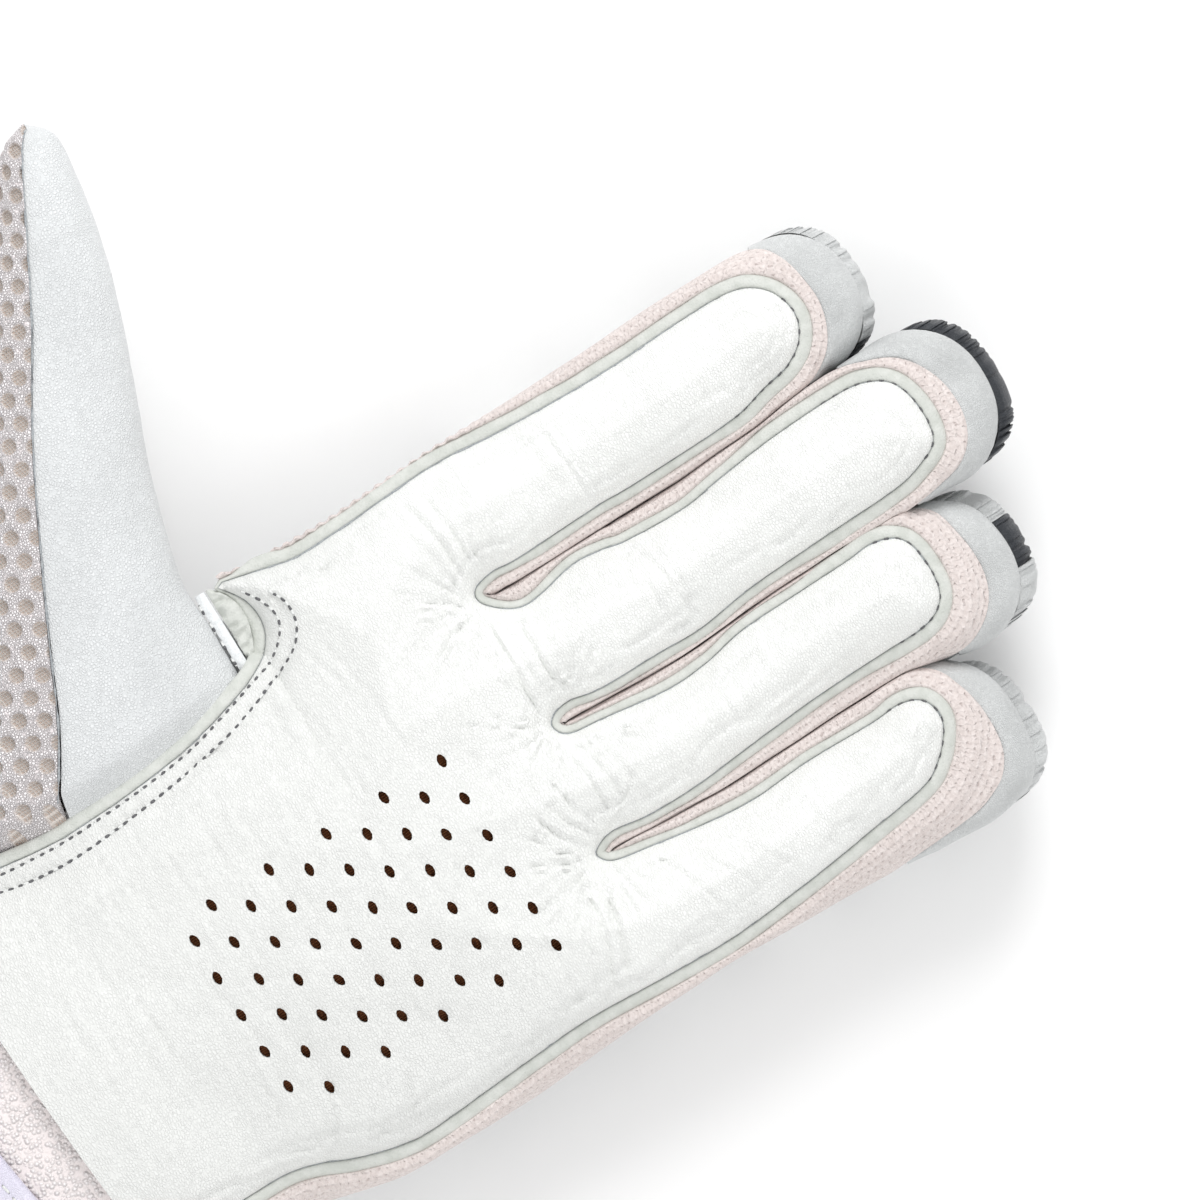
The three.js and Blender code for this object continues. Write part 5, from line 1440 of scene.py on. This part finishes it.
def back_panel():
    """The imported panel's own solid, merged, as a smooth skin."""
    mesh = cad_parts["back_panel"].data
    co = np.empty(len(mesh.vertices) * 3)
    mesh.vertices.foreach_get("co", co)
    co = co.reshape(-1, 3) / MM - SHIFT
    mesh.calc_loop_triangles()
    tri = np.empty(len(mesh.loop_triangles) * 3, np.int32)
    mesh.loop_triangles.foreach_get("vertices", tri)
    keys, where = np.unique(np.round(co, 2), axis=0, return_inverse=True)
    return keys, where.ravel()[tri].reshape(-1, 3)


def on_palm(path, lift=0.0):
    """Raises a flat path onto the palm's leather."""
    path = np.asarray(path, float)
    distance, along = nearest_on_path(path[:, 0], path[:, 1], seam)
    return np.column_stack([path[:, :2], palm_height(path[:, 0], path[:, 1], distance, along) + lift])


# Assembly
FINISH_OF_SLOT = {"coated_white": WHITE_FINISH, "coated_dark": DARK_FINISH}


def pad(name, shape, node, fill):
    """A cushion in the white coated cloth, in place of the node."""
    made = piece(name, shape, WHITE_FINISH, [node])


piece("palm_skin", palm_leather(), LEATHER_FINISH, ["palm_leather"], sharp=60)
piece("vent_lining_cloth", palm_lining(), LINING_FINISH)
piece("palm_edge_binding", binding(), BINDING_FINISH, ["palm_binding"], sharp=60)

# The sunk seam line is painted shadow: a grey cord in the groove between leather and binding, wider along the
# index side and near the finger crotches
run = np.arange(len(seam)) * SEAM_STEP
index_side = smooth((seam[:, 1] + 36) / 6) * smooth((62 - seam[:, 1]) / 12) * (seam[:, 0] < -48)
crotch_side = smooth((30 - seam[:, 1]) / 20) * smooth((seam[:, 1] + 12) / 4) * (np.abs(seam[:, 0] + 2) < 36)
line_width = 0.04 + 0.15 * index_side + 0.07 * crotch_side
line_width = line_width + 0.07 * noise(run / 4.4, 0, 400) + 0.05 * noise(run / 0.9, 0, 401)
line = np.column_stack([seam + seam_out * 0.05, seam_height(seam[:, 0], seam[:, 1]) - 0.62])
piece("sunk_seam_line", tube(line, np.maximum(line_width, 0.03), 6), SHADOW_THREAD)
# The fingertips' dark stitch dashes are painted shadow where the thread sinks into the groove
tip_rows = []
for order, (near_x, near_y, far_x, far_y) in enumerate(TIP_ROWS):
    first = int(np.hypot(seam[:, 0] - near_x, seam[:, 1] - near_y).argmin())
    last = int(np.hypot(seam[:, 0] - far_x, seam[:, 1] - far_y).argmin())
    path = line[first:last].copy()
    path[:, 2] += 0.12
    tip_rows.append(stitches(path, 2.2, 0.95, 0.24, 410 + order))
piece("fingertip_stitch_shadows", joined(tip_rows), STITCH_SHADE)

for order, finger in enumerate(FINGERS):
    name = finger["name"]
    shape, flow = gusset(order)
    piece(f"{name}_side_cloth", shape, KNIT_FINISH, [f"{name}_gusset"], uv=flow, sharp=60)
    piece(f"{name}_coated_cap", tip_cap(order), WHITE_FINISH, [f"{name}_tip_cap"], sharp=60)
    for owner, kind, first, last, slot in GATHERED_BANDS:
        if owner == name:
            band = ruffle(order, first, last)
            piece(f"{name}_{kind}_band", band, FINISH_OF_SLOT[slot], [f"{name}_tip_ruffle"], sharp=60)
    for part, label in enumerate(("base", "mid", "tip")):
        pad(f"{name}_{label}_pad", finger_roll(order, part), f"{name}_roll_{label}", 0.9)

for order in range(4):
    pad(f"hand_pad_{order + 1}", hand_roll(order), f"hand_roll_{order + 1}", 0.9)

piece("back_panel_skin", back_panel(), WHITE_FINISH, ["back_panel"], sharp=40)

shape, flow = thumb_shell(lambda s: THUMB_UNDER, thumb_seam, 200, 120, leather_swell)
piece("thumb_pebbled_shell", shape, PEBBLED_FINISH, ["thumb_leather"], uv=flow, sharp=60)
shape, flow = thumb_shell(
    lambda s: thumb_seam(s) + 0.02, lambda s: 2 * math.pi + THUMB_UNDER - 0.03, 220, 178, mesh_swell)
piece("thumb_net_shell", shape, MESH_FINISH, ["thumb_mesh"], uv=flow, sharp=60)
for first, last, label in ((0.24, 0.56, "base"), (0.57, 0.9, "tip")):
    pad(f"thumb_{label}_pad", thumb_pad(first, last, 220), f"thumb_roll_{label}", 0.8)

# The thumb's seam line is painted shadow: a grey cord in the gap between the pebbled leather and the net
share = np.linspace(0.02, 0.985, 400)
edge = thumb_point(share, thumb_seam(share) + 0.008, 0.0)
edge[:, 2] -= 0.25
thin = np.maximum(0.2 + 0.14 * noise(share * 110, 0, 410), 0.05)
piece("thumb_seam_line", tube(edge, thin, 6), SHADOW_THREAD)

tape = crotch_strip(-45.2, -43.2, 0.0, 0.1, 0.9, 501)
piece("crotch_white_tape", tape, TAPE_FINISH, ["thumb_tape"], sharp=60)
patch = crotch_strip(-42.9, -42.3, 3.4, 0.7, 0.2, 502)
piece("crotch_crinkled_patch", patch, BINDING_FINISH, ["thumb_crotch_patch"], sharp=60)
shape, flow = heel_gusset()
piece("heel_side_cloth", shape, KNIT_FINISH, ["heel_gusset"], uv=flow, sharp=60)
piece("terry_wristband", wristband(), TERRY_FINISH, ["wristband"], sharp=80)
piece("coated_wrist_strap", wrist_strap(), STRAP_FINISH, ["wrist_strap"], sharp=60)

# Stitches
# shadows gathers dark capsules: painted shadow in the needle holes between the white stitches
threads, shadows = [], []
for number, row in enumerate((THUMB_ROW_OUTER, THUMB_ROW_INNER)):
    path = even_path(row, 0.5)
    threads.append(stitches(on_palm(path, 0.1), PALM_PITCH, PALM_THREAD, 0.26, 600 + number))
    shadows.append(stitches(on_palm(path, 0.12)[2:-2], PALM_PITCH, PALM_HOLE_SHADE, 0.29, 610 + number))
tape_row = np.column_stack([np.linspace(-55.5, -39.8, 60), np.full(60, -45.3), np.full(60, SEAM_HEIGHT + 0.95)])
threads.append(stitches(tape_row, 3.3, 2.1, 0.25, 620))
shadows.append(stitches(tape_row[3:], 3.3, 1.0, 0.3, 621))
for number, inset in enumerate(STRAP_ROW_INSETS):
    threads.append(stitches(strap_row(inset, -1.8, 4.9, -0.05), 3.0, 2.1, 0.3, 630 + number))
piece("white_stitches", joined(threads), WHITE_THREAD)
piece("stitch_hole_shadows", joined(shadows), STITCH_SHADE)

# Floor, light and camera
PALM_LEVEL = 0.037
VIEW_SPAN = 0.222
VIEW_DISTANCE = 1.0
VIEW_TURN = math.radians(58)
view_middle = Vector(((-15.7 + SHIFT[0]) * MM, (18.5 + SHIFT[1]) * MM, PALM_LEVEL))

floor_mesh = bpy.data.meshes.new("floor")
floor_mesh.from_pydata([(-3, -3, 0), (3, -3, 0), (3, 3, 0), (-3, 3, 0)], [], [(0, 1, 2, 3)])
floor = bpy.data.objects.new("floor", floor_mesh)
bpy.context.scene.collection.objects.link(floor)
paper = Finish("pale_paper_floor", 0.9)
paper.set("Base Color", (252, 252, 252))
floor_mesh.materials.append(paper.material)

camera_data = bpy.data.cameras.new("camera")
camera = bpy.data.objects.new("camera", camera_data)
bpy.context.scene.collection.objects.link(camera)
right = Vector((math.cos(VIEW_TURN), math.sin(VIEW_TURN), 0))
up = Vector((-math.sin(VIEW_TURN), math.cos(VIEW_TURN), 0))
place = view_middle + Vector((0, 0, VIEW_DISTANCE))
camera.matrix_world = Matrix((
    (right.x, up.x, 0, place.x), (right.y, up.y, 0, place.y), (0, 0, 1, place.z), (0, 0, 0, 1),
))
camera_data.sensor_fit = "HORIZONTAL"
camera_data.sensor_width = 36
camera_data.lens = 36 * VIEW_DISTANCE / VIEW_SPAN
camera_data.clip_end = 20
bpy.context.scene.camera = camera


def area_light(name, place, size, power):
    """A square soft light that points at the middle of the view."""
    data = bpy.data.lights.new(name, "AREA")
    data.shape = "SQUARE"
    data.size = size
    data.energy = power
    lamp = bpy.data.objects.new(name, data)
    bpy.context.scene.collection.objects.link(lamp)
    lamp.location = place
    lamp.rotation_euler = (view_middle - Vector(place)).to_track_quat("-Z", "Y").to_euler()


area_light("key_softbox", (-0.75, 0.55, 0.8), 0.55, 7.6)
area_light("fill_softbox", (0.9, -0.35, 1.1), 1.1, 4.8)
world = bpy.data.worlds.new("studio")
bpy.context.scene.world = world
world.use_nodes = True
world.node_tree.nodes["Background"].inputs["Color"].default_value = (1, 1, 1, 1)
world.node_tree.nodes["Background"].inputs["Strength"].default_value = 0.76
bpy.context.scene.view_settings.view_transform = "Standard"
